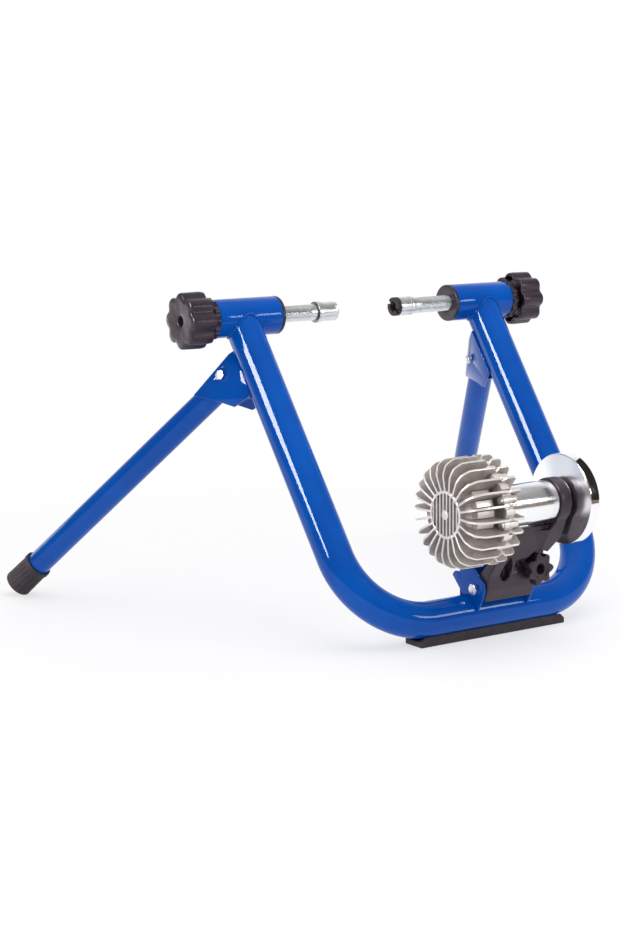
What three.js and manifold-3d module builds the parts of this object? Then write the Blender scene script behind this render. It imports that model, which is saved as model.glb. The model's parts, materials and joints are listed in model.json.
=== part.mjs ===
// A wheel-on turbo trainer: a bent tube frame stands on a base pad and two folding legs,
// two screw spindles clamp a bicycle's rear axle, and a finned fluid brake with a roller
// and a flywheel swings up against the tyre.
// Millimetres. X runs along the axle from left to right, Y from the brake towards the feet
// of the legs, Z up. The origin is the middle of the base pad's underside.
import * as THREE from 'three';
import { ConvexGeometry } from 'three/addons/geometries/ConvexGeometry.js';
import { mergeVertices } from 'three/addons/utils/BufferGeometryUtils.js';
import Module from 'manifold-3d';

const wasm = await Module();
wasm.setup();

// Clearances, cuts and roundness
const fitGap = 0.3;
const runningGap = 0.6;
const cutOverrun = 15;
const tubeSides = 20;
const fineSides = 36;
const smallSides = 10;
const screwSides = 6;
const hexSides = 6;

// Frame tube
const spindleHeight = 375;
const spindleSetback = 252;
const armTopSpan = 375;
const armFootSpan = 362.1;
const frameTubeRadius = 22.225;
const frameTubeWall = 2;
const frameBendRadius = 96.6;
const frameBendSteps = 7;

// Base pad
const padLength = 220;
const padWidth = 32;
const padFloor = 6.4;
const padRise = 5.4;
const padEndTaper = 6;

// Sleeves, bushes and thread inserts
const sleeveRadius = 23.75;
const sleeveWall = 2.75;
const sleeveLength = 90.2;
const sleeveInboard = 49.8;
const bushFlange = 4;
const bushDepth = 18;
const insertDepth = 26;

// Spindles and cups
const spindleRadius = 10.2;
const shankRadius = 5;
const shankLength = 10;
const cupGap = 93;
const cupLength = 29.5;
const cupRadius = 12;
const cupFlangeRadius = 13.4;
const cupFlangeLength = 7.6;
const cupSocketRadius = 8;
const cupSocketDepth = 16;
const cupSlotWidth = 6;
const cupSlotDepth = 4;
const cupSlotTurn = THREE.MathUtils.degToRad(62);
const cupTipLength = 6;
const cupTipSlotDepth = 4;
const cupTipWall = 1.4;

// Spindle knobs and lock rings
const lockRingRadius = 26.4;
const lockRingThickness = 8.6;
const lockRingLobes = 12;
const lockRingLobeDepth = 1.6;
const knobRadius = 34.8;
const knobThickness = 33;
const knobLobes = 8;
const knobLobeDepth = 5;
const knobChamfer = 2.4;
const knobGap = 3;
const knobEyeRadius = 7;
const knobEyeDepth = 12;
const spindleEndInset = 18;

// Legs, their brackets and bolts
const legRadius = 15.875;
const legWall = 1.8;
const legStation = 57.9;
const legStandoff = 45.9;
const legSideShift = 5.2;
const legSplay = THREE.MathUtils.degToRad(22.85);
const legOpenAngle = THREE.MathUtils.degToRad(80.9);
const legHeel = 11.5;
const bracketPlate = 3.1;
const bracketTop = 18;
const bracketToe = 47.8;
const bracketFoot = 45;
const bracketWebSetback = 20.6;
const legBoltRadius = 4;
const legBoltHeadRadius = 6.6;
const legBoltHeadHeight = 4.2;
const legNutHeight = 5;
const legBoltTail = 1.4;

// Foot caps
const capRadius = 19;
const capLength = 45;
const capEndThickness = 7;
const capCollarLength = 6;
const capTaper = 1.4;
const capFlat = 0.6;

// Pivot of the brake on the bottom tube
const pivotForward = 18;
const pivotRise = 32.65;
const earLeft = 32;
const earRight = 47;
const earPlate = 3;
const earReach = 44.1;
const webSetback = 26;
const webPlate = 3.5;
const webTop = 35.4;
const pivotBoltRadius = 4;
const pivotSleeveWall = 2.2;
const pivotHeadRadius = 7.2;
const pivotHeadHeight = 4.6;
const pivotNutHeight = 6;
const pivotBoltTail = 2.5;

// Yoke that carries the brake
const barrelRadius = 14;
const yokeWall = 9.5;
const yokeEndGap = 0.5;
const yokeFilletWidth = 22;
const kneeShare = 0.37;
const rollerReach = 111.2;
const rollerLean = THREE.MathUtils.degToRad(20.73);
const collarRadius = 27.6;
const collarWidth = 15.7;
const mountPlate = 11;
const mountReach = 29;
const saddleGap = 2.4;
const yokeScrewCircle = 40;
const yokeScrewSpread = THREE.MathUtils.degToRad(30);
const yokeScrewRadius = 2.6;
const yokeScrewHeadRadius = 4.8;
const yokeScrewHeadHeight = 3.6;
const yokeScrewDepth = 14;

// Tension bolt and its star knob
const tensionOffset = 36;
const tensionRise = 22.4;
const tensionSeat = 22.4;
const tensionBoltRadius = 4;
const tensionHeadRadius = 6;
const tensionHeadLength = 13;
const tensionSlotShare = 0.42;
const starRadius = 20.2;
const starThickness = 18;
const starLobes = 7;
const starLobeDepth = 5.4;
const starChamfer = 1.5;
const starBore = 6.4;
const starEndInset = 12;
const tensionHoleRadius = 8.2;
const starRecessGap = 2.6;

// Rotor: shaft, roller, impeller and flywheel
const shaftRadius = 7.5;
const shaftThreadRadius = 6;
const rollerRadius = 25;
const rollerWall = 3.5;
const rollerHubRadius = 12;
const rollerWeb = 10;
const rollerRightEnd = 44.4;
const rollerLeftEnd = 34.6;
const flywheelRadius = 54.5;
const flywheelThickness = 14.65;
const flywheelGap = 5.2;
const flywheelBossRadius = 12;
const flywheelBevel = 1.6;
const flywheelDishRadius = 40;
const flywheelDishDepth = 3;
const flywheelNutRadius = 10.4;
const flywheelNutHeight = 8;
const shaftTail = 2;
const impellerRadius = 36;
const impellerDisc = 3;
const impellerHubRadius = 12;
const impellerVanes = 8;
const impellerVaneThickness = 3;
const impellerVaneWidth = 9;
const impellerVaneInset = 2;

// Bearings and seal
const bearingRadius = 17.5;
const bearingWidth = 11;
const sealRadius = 13.5;
const sealWidth = 6;

// Finned housing, measured along the shaft from the wheel's middle plane
const housingFace = 108.2;
const housingFinNose = 112;
const housingParting = 58.5;
const housingBack = 36;
const finBack = 40.5;
const finRadius = 64.5;
const finThickness = 2.6;
const finCount = 24;
const finTurn = THREE.MathUtils.degToRad(1.2);
const discRadius = 28;
const discGrooves = 7;
const discGrooveWidth = 3.4;
const discGrooveDepth = 4;
const discBossRadius = 5;
const drumRadius = 44;
const drumBandRadius = 47.5;
const drumBandLength = 26;
const drumFront = 100;
const drumGroove = 8;
const chamberRadius = 39.5;
const chamberFrontWall = 4;
const flangeRadius = 56.5;
const flangeThickness = 6;
const coverWall = 6;
const hubRadius = 24;
const gasketRadius = 49;
const gasketWidth = 2.4;
const gasketDepth = 2;
const screwCount = 12;
const screwCircle = 53.5;
const screwRadius = 2.2;
const screwHeadRadius = 4.4;
const screwHeadHeight = 4.5;
const screwBossRadius = 5.6;
const screwEndWall = 1.5;

// Places that follow from the sizes above
const bottomAxisHeight = padFloor + fitGap + frameTubeRadius;
const pivotPoint = new THREE.Vector3(0, -pivotForward, bottomAxisHeight + pivotRise);
const rollerAxis = { y: -rollerReach * Math.sin(rollerLean), z: rollerReach * Math.cos(rollerLean) };
const sleeveInnerEnd = armTopSpan / 2 - sleeveInboard;
const sleeveOuterEnd = sleeveInnerEnd + sleeveLength;
const sleeveBore = sleeveRadius - sleeveWall;
const spindleBore = spindleRadius + fitGap;
const knobInnerFace = sleeveOuterEnd + fitGap + lockRingThickness + knobGap;
const cupBack = cupGap / 2 + cupLength;
const yokeLeft = earLeft - earPlate - yokeEndGap;
const yokeRight = earRight - earPlate - yokeEndGap;
const collarFace = rollerRightEnd + fitGap;
const collarBack = collarFace + collarWidth;
const yokeKnee = [-tensionSeat - barrelRadius - runningGap, kneeShare * rollerAxis.z];
const flywheelFace = collarBack + flywheelGap;
const flywheelBack = flywheelFace + flywheelThickness;
const gasketBore = gasketRadius - gasketWidth;

// Finishes: colour, roughness and metalness
const finishes = {
  bluePaint: [0x0b4fb8, 0.22, 0.1],
  castAluminium: [0xb9b4ac, 0.5, 0.85],
  chrome: [0xd8dadd, 0.06, 1],
  zincSteel: [0xb4b8ba, 0.32, 1],
  darkSteel: [0x6d6f72, 0.4, 1],
  blackPlastic: [0x2b282c, 0.5, 0],
  blackRubber: [0x1f1e20, 0.85, 0],
  sealRubber: [0x2a201c, 0.8, 0],
};

// Solids: a closed geometry goes in, booleans happen, a geometry comes out

function signedVolume(geometry) {
  const corners = [new THREE.Vector3(), new THREE.Vector3(), new THREE.Vector3()];
  const points = geometry.attributes.position;
  const index = geometry.index.array;
  let total = 0;
  for (let at = 0; at < index.length; at += corners.length) {
    corners.forEach((corner, k) => corner.fromBufferAttribute(points, index[at + k]));
    total += corners[0].dot(corners[1].clone().cross(corners[2]));
  }
  return total;
}

function closed(geometry) {
  geometry.deleteAttribute('normal');
  geometry.deleteAttribute('uv');
  const welded = mergeVertices(geometry);
  const index = welded.index.array;
  const faces = [];
  for (let at = 0; at < index.length; at += 3) {
    const [a, b, c] = index.slice(at, at + 3);
    if (a !== b && b !== c && c !== a) {
      faces.push([a, b, c]);
    }
  }
  welded.setIndex(faces.flat());
  if (signedVolume(welded) < 0) {
    welded.setIndex(faces.map(([a, b, c]) => [a, c, b]).flat());
  }
  return welded;
}

function toSolid(geometry) {
  const body = closed(geometry.clone());
  const vertProperties = new Float32Array(body.attributes.position.array);
  const triVerts = new Uint32Array(body.index.array);
  return new wasm.Manifold(new wasm.Mesh({ numProp: 3, vertProperties, triVerts }));
}

function toGeometry(solid) {
  const mesh = solid.getMesh();
  const geometry = new THREE.BufferGeometry();
  geometry.setAttribute('position', new THREE.BufferAttribute(mesh.vertProperties, mesh.numProp));
  geometry.setIndex(new THREE.BufferAttribute(mesh.triVerts, 1));
  return geometry;
}

function join(...geometries) {
  return toGeometry(geometries.map(toSolid).reduce((sum, next) => sum.add(next)));
}

function cut(base, ...tools) {
  return toGeometry([base, ...tools].map(toSolid).reduce((rest, tool) => rest.subtract(tool)));
}

function overlap(first, second) {
  return toGeometry(toSolid(first).intersect(toSolid(second)));
}

// Basic shapes

// Turned about Z from [radius, z] points that close on the axis or on themselves.
function turned(profile, sides) {
  const points = profile.map(([radius, z]) => new THREE.Vector2(radius, z));
  return closed(new THREE.LatheGeometry(points, sides).rotateX(Math.PI / 2));
}

function rod(radius, from, to, sides) {
  return turned([[0, from], [radius, from], [radius, to], [0, to]], sides);
}

function pipe(outer, inner, from, to, sides) {
  return turned([[inner, from], [outer, from], [outer, to], [inner, to], [inner, from]], sides);
}

function slab([x0, x1], [y0, y1], [z0, z1]) {
  const box = new THREE.BoxGeometry(x1 - x0, y1 - y0, z1 - z0);
  return closed(box.translate((x0 + x1) / 2, (y0 + y1) / 2, (z0 + z1) / 2));
}

// A flat outline in X and Y, made thick along Z.
function plate(outline, from, to) {
  const shape = new THREE.Shape(outline.map(([x, y]) => new THREE.Vector2(x, y)));
  const geometry = new THREE.ExtrudeGeometry(shape, { depth: to - from, bevelEnabled: false });
  return closed(geometry.translate(0, 0, from));
}

// The same with its long edges chamfered, between z = from and z = to.
function chamferedPlate(outline, from, to, chamfer) {
  const shape = new THREE.Shape(outline.map(([x, y]) => new THREE.Vector2(x, y)));
  const geometry = new THREE.ExtrudeGeometry(shape, {
    depth: to - from - 2 * chamfer,
    bevelThickness: chamfer,
    bevelSize: chamfer,
    bevelOffset: -chamfer,
    bevelSegments: 1,
  });
  return closed(geometry.translate(0, 0, from + chamfer));
}

// Lays a shape's Z along X, its X along Y and its Y along Z.
function ontoX(geometry) {
  const basis = new THREE.Matrix4().makeBasis(
    new THREE.Vector3(0, 1, 0), new THREE.Vector3(0, 0, 1), new THREE.Vector3(1, 0, 0));
  return geometry.applyMatrix4(basis);
}

// Lays a shape's Z along minus Y, keeps its X and turns its Y up.
function ontoFront(geometry) {
  return geometry.rotateX(Math.PI / 2);
}

function moved(geometry, x, y, z) {
  return geometry.clone().translate(x, y, z);
}

function hexOutline(radius) {
  return Array.from({ length: hexSides }, (_, k) => {
    const angle = (k * 2 * Math.PI) / hexSides;
    return [radius * Math.cos(angle), radius * Math.sin(angle)];
  });
}

function lobedOutline(radius, depth, lobes, pointsPerLobe) {
  const count = lobes * pointsPerLobe;
  return Array.from({ length: count }, (_, k) => {
    const angle = (k * 2 * Math.PI) / count;
    const reach = radius - depth * (1 - Math.cos(lobes * angle)) / 2;
    return [reach * Math.cos(angle), reach * Math.sin(angle)];
  });
}

function arcPoints(centerY, centerZ, radius, from, to, steps) {
  return Array.from({ length: steps + 1 }, (_, k) => {
    const angle = from + ((to - from) * k) / steps;
    return [centerY + radius * Math.cos(angle), centerZ + radius * Math.sin(angle)];
  });
}

function part(name, geometry, finish) {
  const [color, roughness, metalness] = finishes[finish];
  const material = new THREE.MeshStandardMaterial({ color, roughness, metalness });
  const mesh = new THREE.Mesh(closed(geometry), material);
  mesh.name = name;
  return mesh;
}

// A path through given stations, so that straight stretches take a single step.
class StationPath extends THREE.Curve {
  constructor(stations) {
    super();
    this.stations = stations;
  }

  getPoint(t, target = new THREE.Vector3()) {
    const place = THREE.MathUtils.clamp(t, 0, 1) * (this.stations.length - 1);
    const before = Math.min(Math.floor(place), this.stations.length - 2);
    return target.lerpVectors(this.stations[before], this.stations[before + 1], place - before);
  }

  getUtoTmapping(u) {
    return u;
  }
}

// Frame

function armLine(side) {
  const top = new THREE.Vector3((side * armTopSpan) / 2, spindleSetback, spindleHeight);
  const foot = new THREE.Vector3((side * armFootSpan) / 2, 0, bottomAxisHeight);
  return { top, foot, down: foot.clone().sub(top).normalize() };
}

// Stations of a round corner at the foot of one arm, from the arm to the bottom tube.
function bendStations(side) {
  const { foot, down } = armLine(side);
  const inward = new THREE.Vector3(-side, 0, 0);
  const up = down.clone().negate();
  const corner = up.angleTo(inward);
  const reach = frameBendRadius / Math.tan(corner / 2);
  const middle = up.clone().add(inward).normalize();
  const center = foot.clone().addScaledVector(middle, frameBendRadius / Math.sin(corner / 2));
  const start = foot.clone().addScaledVector(up, reach).sub(center);
  const end = foot.clone().addScaledVector(inward, reach).sub(center);
  const sweep = start.angleTo(end);
  const axis = start.clone().cross(end).normalize();
  return Array.from({ length: frameBendSteps + 1 }, (_, k) =>
    start.clone().applyAxisAngle(axis, (sweep * k) / frameBendSteps).add(center));
}

function frameTube() {
  const left = [armLine(-1).top, ...bendStations(-1)];
  const right = [...bendStations(1).reverse(), armLine(1).top];
  const stations = [...left, ...right];
  const ring = new THREE.Shape();
  ring.absarc(0, 0, frameTubeRadius, 0, 2 * Math.PI);
  const hollow = new THREE.Path();
  hollow.absarc(0, 0, frameTubeRadius - frameTubeWall, 0, 2 * Math.PI);
  ring.holes.push(hollow);
  const tube = new THREE.ExtrudeGeometry(ring, {
    steps: stations.length - 1,
    curveSegments: tubeSides / 2,
    extrudePath: new StationPath(stations),
  });
  const cope = ontoX(rod(sleeveRadius + fitGap, -sleeveOuterEnd, sleeveOuterEnd, tubeSides));
  return part('frame_tube', cut(tube, moved(cope, 0, spindleSetback, spindleHeight)), 'bluePaint');
}

function bottomTubeTool(clearance) {
  const straight = ontoX(rod(frameTubeRadius + clearance, -armFootSpan / 2, armFootSpan / 2, tubeSides));
  return moved(straight, 0, 0, bottomAxisHeight);
}

function basePad() {
  const half = padLength / 2;
  const top = bottomAxisHeight - frameTubeRadius + padRise;
  const outline = [[-half, 0], [half, 0], [half, padFloor], [half - padEndTaper, top],
    [padEndTaper - half, top], [-half, padFloor]];
  const body = ontoFront(plate(outline, -padWidth / 2, padWidth / 2));
  return part('base_pad', cut(body, bottomTubeTool(fitGap)), 'blackRubber');
}

// Everything round one spindle is built with Z running outwards from the wheel's middle plane.

function sleeveParts(side, name) {
  const sleeve = pipe(sleeveRadius, sleeveBore, sleeveInnerEnd, sleeveOuterEnd, tubeSides);
  const plug = sleeveBore - fitGap;
  const bushFace = sleeveInnerEnd - bushFlange;
  const bushEnd = sleeveInnerEnd + bushDepth;
  const seat = sleeveInnerEnd - fitGap;
  const bush = turned([[spindleBore, bushFace], [sleeveRadius, bushFace], [sleeveRadius, seat], [plug, seat],
    [plug, bushEnd], [spindleBore, bushEnd], [spindleBore, bushFace]], tubeSides);
  const insert = pipe(plug, spindleBore, sleeveOuterEnd - insertDepth, sleeveOuterEnd, tubeSides);
  return [
    part(`${name}_sleeve`, sleeve, 'bluePaint'),
    part(`${name}_bush`, bush, 'blackPlastic'),
    part(`${name}_thread_insert`, insert, 'darkSteel'),
  ];
}

function lockRing(name) {
  const from = sleeveOuterEnd + fitGap;
  const outline = lobedOutline(lockRingRadius, lockRingLobeDepth, lockRingLobes, 4);
  const blank = plate(outline, from, from + lockRingThickness);
  const bore = rod(spindleBore, from - cutOverrun, from + lockRingThickness + cutOverrun, tubeSides);
  return part(`${name}_lock_ring`, cut(blank, bore), 'blackPlastic');
}

function spindleRod(name) {
  const outerEnd = knobInnerFace + knobThickness - spindleEndInset;
  const profile = [[0, cupBack - shankLength], [shankRadius, cupBack - shankLength],
    [shankRadius, cupBack + fitGap], [spindleRadius, cupBack + fitGap],
    [spindleRadius, outerEnd], [0, outerEnd]];
  return part(`${name}_spindle`, turned(profile, tubeSides), 'zincSteel');
}

function knob(name) {
  const outerFace = knobInnerFace + knobThickness;
  const outline = lobedOutline(knobRadius, knobLobeDepth, knobLobes, 8);
  const blank = chamferedPlate(outline, knobInnerFace, outerFace, knobChamfer);
  const socketEnd = outerFace - spindleEndInset + fitGap;
  const socket = rod(spindleBore, knobInnerFace - cutOverrun, socketEnd, tubeSides);
  const eye = rod(knobEyeRadius, outerFace - knobEyeDepth, outerFace + cutOverrun, smallSides);
  return part(`${name}_knob`, cut(blank, socket, eye), 'blackPlastic');
}

function cupSlot(mouth, depth) {
  const reach = cupRadius + cutOverrun;
  const width = [-cupSlotWidth / 2, cupSlotWidth / 2];
  return slab([-reach, reach], width, [mouth - cutOverrun, mouth + depth]).rotateZ(-cupSlotTurn);
}

function cupProfile(mouth, backRadius) {
  const socketFloor = cupGap / 2 + cupSocketDepth;
  const flangeStart = cupBack - cupFlangeLength;
  const bore = shankRadius + fitGap;
  return [[cupSocketRadius, mouth], [cupRadius, mouth], [cupRadius, flangeStart],
    [backRadius, flangeStart], [backRadius, cupBack], [bore, cupBack],
    [bore, socketFloor], [cupSocketRadius, socketFloor], [cupSocketRadius, mouth]];
}

// The left cup is slotted steel, the right one has a slotted rubber tip.
function leftCup() {
  const mouth = cupGap / 2;
  const body = turned(cupProfile(mouth, cupFlangeRadius), tubeSides);
  return [part('left_cup', cut(body, cupSlot(mouth, cupSlotDepth)), 'zincSteel')];
}

function rightCup() {
  const mouth = cupGap / 2;
  const tipBack = mouth + cupTipLength;
  const plug = cupSocketRadius - fitGap;
  const inner = plug - cupTipWall;
  const end = mouth + cupSocketDepth - fitGap;
  const tip = turned([[inner, mouth], [cupRadius, mouth], [cupRadius, tipBack], [plug, tipBack],
    [plug, end], [inner, end], [inner, mouth]], tubeSides);
  return [
    part('right_cup', turned(cupProfile(tipBack + fitGap, cupRadius), tubeSides), 'zincSteel'),
    part('right_cup_tip', cut(tip, cupSlot(mouth, cupTipSlotDepth)), 'blackRubber'),
  ];
}

function spindleGroup(side, name) {
  const group = new THREE.Group();
  group.position.set(0, spindleSetback, spindleHeight);
  group.rotation.y = (side * Math.PI) / 2;
  group.add(...sleeveParts(side, name), lockRing(name), spindleRod(name), knob(name));
  group.add(...(side < 0 ? leftCup() : rightCup()));
  return group;
}

// Leg bracket: X runs down the arm, Y away from it towards the foot, Z along the bolt.
// A left bracket's Z points inwards and a right one's outwards.

function bracketMatrix(side) {
  const { top, down } = armLine(side);
  const outward = new THREE.Vector3(side, 0, 0);
  outward.addScaledVector(down, -outward.dot(down)).normalize();
  const backward = down.clone().cross(outward).multiplyScalar(-side);
  const away = backward.multiplyScalar(Math.cos(legSplay)).addScaledVector(outward, Math.sin(legSplay));
  const bolt = down.clone().cross(away);
  const pivot = top.clone().addScaledVector(down, legStation).addScaledVector(away, legStandoff);
  pivot.addScaledVector(bolt, -side * legSideShift);
  return new THREE.Matrix4().makeBasis(down, away, bolt).setPosition(pivot);
}

function bracketGap() {
  return legRadius + fitGap + fitGap;
}

function legBracket(side, name) {
  const inner = bracketGap();
  const outer = inner + bracketPlate;
  const armSurface = -legStandoff;
  const outline = [[-bracketTop, armSurface], [bracketFoot, armSurface], [bracketFoot, -bracketWebSetback],
    [bracketFoot, 0], [bracketFoot - legRadius, legRadius + fitGap], [bracketPlate + fitGap, bracketToe],
    [0, bracketToe], [-bracketTop, -bracketWebSetback]];
  const near = plate(outline, -outer, -inner);
  const far = plate(outline, inner, outer);
  const webBack = -bracketWebSetback - bracketPlate;
  const web = slab([-bracketTop, bracketFoot], [webBack, -bracketWebSetback], [-outer, outer]);
  const arm = rod(frameTubeRadius + fitGap, -legStation, bracketFoot + cutOverrun, tubeSides);
  arm.rotateY(Math.PI / 2).translate(0, -legStandoff, side * legSideShift);
  const hole = rod(legBoltRadius + fitGap, -outer - cutOverrun, outer + cutOverrun, smallSides);
  return part(`${name}_leg_bracket`, cut(join(near, far, web), arm, hole), 'bluePaint');
}

function hexBolt(headRadius, headHeight, radius, length) {
  const head = plate(hexOutline(headRadius), -headHeight, 0);
  return join(head, rod(radius, -headHeight / 2, length, smallSides));
}

function hexNut(outerRadius, height, bore, boreSides) {
  const hole = rod(bore, -cutOverrun, height + cutOverrun, boreSides);
  return cut(plate(hexOutline(outerRadius), 0, height), hole);
}

function legFasteners(side, name) {
  const face = bracketGap() + bracketPlate + fitGap;
  const length = 2 * face + legNutHeight + legBoltTail;
  const bolt = hexBolt(legBoltHeadRadius, legBoltHeadHeight, legBoltRadius, length);
  const nut = hexNut(legBoltHeadRadius, legNutHeight, legBoltRadius + fitGap, smallSides);
  bolt.translate(0, 0, -face);
  nut.translate(0, 0, face);
  if (side > 0) {
    bolt.rotateX(Math.PI);
    nut.rotateX(Math.PI);
  }
  return [part(`${name}_leg_bolt`, bolt, 'zincSteel'), part(`${name}_leg_nut`, nut, 'zincSteel')];
}

// Leg: Z runs from the bolt to the foot and X along the bolt.

function legMatrix(side) {
  const bracket = bracketMatrix(side);
  const opened = new THREE.Vector3(Math.cos(legOpenAngle), Math.sin(legOpenAngle), 0);
  const along = opened.transformDirection(bracket);
  const bolt = new THREE.Vector3().setFromMatrixColumn(bracket, 2);
  const pivot = new THREE.Vector3().setFromMatrixPosition(bracket);
  return new THREE.Matrix4().makeBasis(bolt, along.clone().cross(bolt), along).setPosition(pivot);
}

// The foot's edge meets the floor, and its lowest edge is cut flat there.
function legLength(side) {
  const place = legMatrix(side);
  const pivotHeight = new THREE.Vector3().setFromMatrixPosition(place).z;
  const drop = -new THREE.Vector3().setFromMatrixColumn(place, 2).z;
  const edgeDrop = capRadius * Math.sqrt(1 - drop * drop);
  return (pivotHeight + capFlat - edgeDrop) / drop;
}

function legTube(side, name) {
  const end = legLength(side) - capEndThickness - fitGap;
  const tube = pipe(legRadius, legRadius - legWall, -legHeel, end, tubeSides);
  const reach = legRadius + cutOverrun;
  const hole = ontoX(rod(legBoltRadius + runningGap, -reach, reach, smallSides));
  return part(`${name}_leg`, cut(tube, hole), 'bluePaint');
}

function footCap(side, name) {
  const end = legLength(side);
  const mouth = end - capLength;
  const floorOfCap = end - capEndThickness;
  const bore = legRadius + fitGap;
  const body = turned([[bore, mouth], [capRadius, mouth], [capRadius, mouth + capCollarLength],
    [capRadius - capTaper, mouth + capCollarLength], [capRadius, end - capTaper], [capRadius - capTaper, end],
    [0, end], [0, floorOfCap], [bore, floorOfCap], [bore, mouth]], tubeSides);
  body.applyMatrix4(legMatrix(side));
  const reach = spindleSetback + legLength(side);
  const underFloor = slab([-reach, reach], [-reach, reach], [-cutOverrun, 0]);
  return part(`${name}_foot_cap`, cut(body, underFloor), 'blackRubber');
}

function legGroup(side, name) {
  const group = new THREE.Group();
  const bracket = new THREE.Group();
  bracket.applyMatrix4(bracketMatrix(side));
  bracket.add(legBracket(side, name), ...legFasteners(side, name));
  const leg = new THREE.Group();
  leg.applyMatrix4(legMatrix(side));
  leg.add(legTube(side, name));
  group.add(bracket, leg, footCap(side, name));
  return group;
}

// Brake bracket, built round the pivot: X across, Y towards the wheel, Z up.

function bottomTubeAtPivot(clearance) {
  return moved(bottomTubeTool(clearance), 0, -pivotPoint.y, -pivotPoint.z);
}

function tensionAnchor() {
  return { y: webSetback + webPlate + fitGap + tensionHeadRadius, z: tensionRise };
}

function unitBracket() {
  const earShares = [[-0.11, -0.6], [-0.33, -0.19], [-0.4, 0.03], [-0.33, 0.23], [0.03, 0.5]];
  const rearShares = [[0.9, 0.35], [1, 0.23], [0.56, -0.21]];
  const scaled = (shares) => shares.map(([y, z]) => [y * earReach, z * earReach]);
  const backFace = webSetback + webPlate;
  const outline = [...scaled(earShares), [webSetback, webTop], [backFace, webTop],
    [backFace, tensionRise - tensionHeadRadius], ...scaled(rearShares), [pivotForward, -pivotRise]];
  const left = ontoX(plate(outline, -earLeft, earPlate - earLeft));
  const right = ontoX(plate(outline, earRight - earPlate, earRight));
  const web = slab([-earLeft, earRight], [webSetback, backFace], [-pivotRise, webTop]);
  const hole = ontoX(rod(pivotBoltRadius + fitGap, -earLeft - cutOverrun, earRight + cutOverrun, smallSides));
  const halfSlot = tensionBoltRadius + runningGap;
  const slotRise = halfSlot + (tensionHeadRadius + webPlate) * tensionSlotShare;
  const slot = slab([tensionOffset - halfSlot, tensionOffset + halfSlot],
    [webSetback - cutOverrun, backFace + cutOverrun], [tensionRise - slotRise, tensionRise + slotRise]);
  const body = cut(join(left, right, web), bottomTubeAtPivot(fitGap), hole, slot);
  return part('unit_bracket', body, 'bluePaint');
}

function pivotFasteners() {
  const leftFace = -earLeft - fitGap;
  const rightFace = earRight + fitGap;
  const length = rightFace - leftFace + pivotNutHeight + pivotBoltTail;
  const bore = pivotBoltRadius + fitGap;
  const bolt = ontoX(hexBolt(pivotHeadRadius, pivotHeadHeight, pivotBoltRadius, length));
  const nut = ontoX(hexNut(pivotHeadRadius, pivotNutHeight, bore, smallSides));
  bolt.translate(leftFace, 0, 0);
  nut.translate(rightFace, 0, 0);
  const sleeve = ontoX(pipe(bore + pivotSleeveWall, bore, earPlate + fitGap - earLeft,
    earRight - earPlate - fitGap, smallSides));
  return [part('pivot_bolt', bolt, 'zincSteel'), part('pivot_nut', nut, 'zincSteel'),
    part('pivot_sleeve', sleeve, 'darkSteel')];
}

function tensionBolt() {
  const anchor = tensionAnchor();
  const tip = -tensionSeat - fitGap - starThickness + starEndInset;
  const head = ontoX(rod(tensionHeadRadius, -tensionHeadLength / 2, tensionHeadLength / 2, smallSides));
  const shank = ontoFront(rod(tensionBoltRadius, 0, anchor.y - tip, smallSides));
  const bolt = join(head, shank).translate(tensionOffset, anchor.y, anchor.z);
  return part('tension_bolt', bolt, 'zincSteel');
}

function tensionKnob() {
  const back = tensionSeat + fitGap;
  const front = back + starThickness;
  const outline = lobedOutline(starRadius, starLobeDepth, starLobes, 8);
  const blank = chamferedPlate(outline, back, front, starChamfer);
  const bore = rod(starBore, back - cutOverrun, front + cutOverrun, smallSides);
  const body = ontoFront(cut(blank, bore)).translate(tensionOffset, 0, tensionRise);
  return part('tension_knob', body, 'blackPlastic');
}

// Yoke: a front wall on a barrel, a mounting plate for the housing and an arm with a collar.

function yokeWallShape() {
  const lip = barrelRadius + 2 * fitGap;
  const frontTop = rollerAxis.z - rollerRadius - saddleGap;
  const skirtShare = 0.95;
  const barrelBack = arcPoints(0, 0, barrelRadius, Math.PI / 2, -Math.PI / 2, 8);
  const wallTopFront = rollerAxis.y - barrelRadius / 2;
  return [[-skirtShare * barrelRadius, -lip], [-lip - yokeWall / 2, 0],
    [-tensionSeat, tensionRise - yokeWall / 2], yokeKnee,
    [wallTopFront, frontTop], [wallTopFront + yokeWall, frontTop],
    [yokeKnee[0] + yokeWall, yokeKnee[1] + yokeWall / 2], [-tensionSeat + yokeWall, tensionRise + yokeWall / 2],
    ...barrelBack];
}

function yokeArm() {
  const halfWall = yokeWall / 2;
  const flareShare = 0.57;
  const front = [[yokeRight - yokeWall, barrelRadius], [yokeRight, barrelRadius],
    [yokeRight, tensionRise + starRadius - halfWall], [collarBack, flareShare * rollerAxis.z],
    [collarBack, rollerAxis.z], [collarFace, rollerAxis.z], [collarFace, rollerAxis.z - rollerRadius],
    [yokeRight - halfWall, rollerAxis.z - rollerRadius - saddleGap - halfWall],
    [yokeRight - yokeWall, tensionRise + starRadius]];
  const side = [[-tensionSeat, barrelRadius / 2],
    [yokeKnee[0], tensionRise + barrelRadius],
    [rollerAxis.y - collarRadius, rollerAxis.z], [rollerAxis.y + collarRadius, rollerAxis.z],
    [rollerAxis.y + collarRadius, rollerAxis.z - 2 * collarRadius], [barrelRadius / 2, barrelRadius / 2]];
  const reach = rollerReach;
  return overlap(ontoFront(plate(front, -reach, reach)), ontoX(plate(side, -reach, reach)));
}

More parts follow.
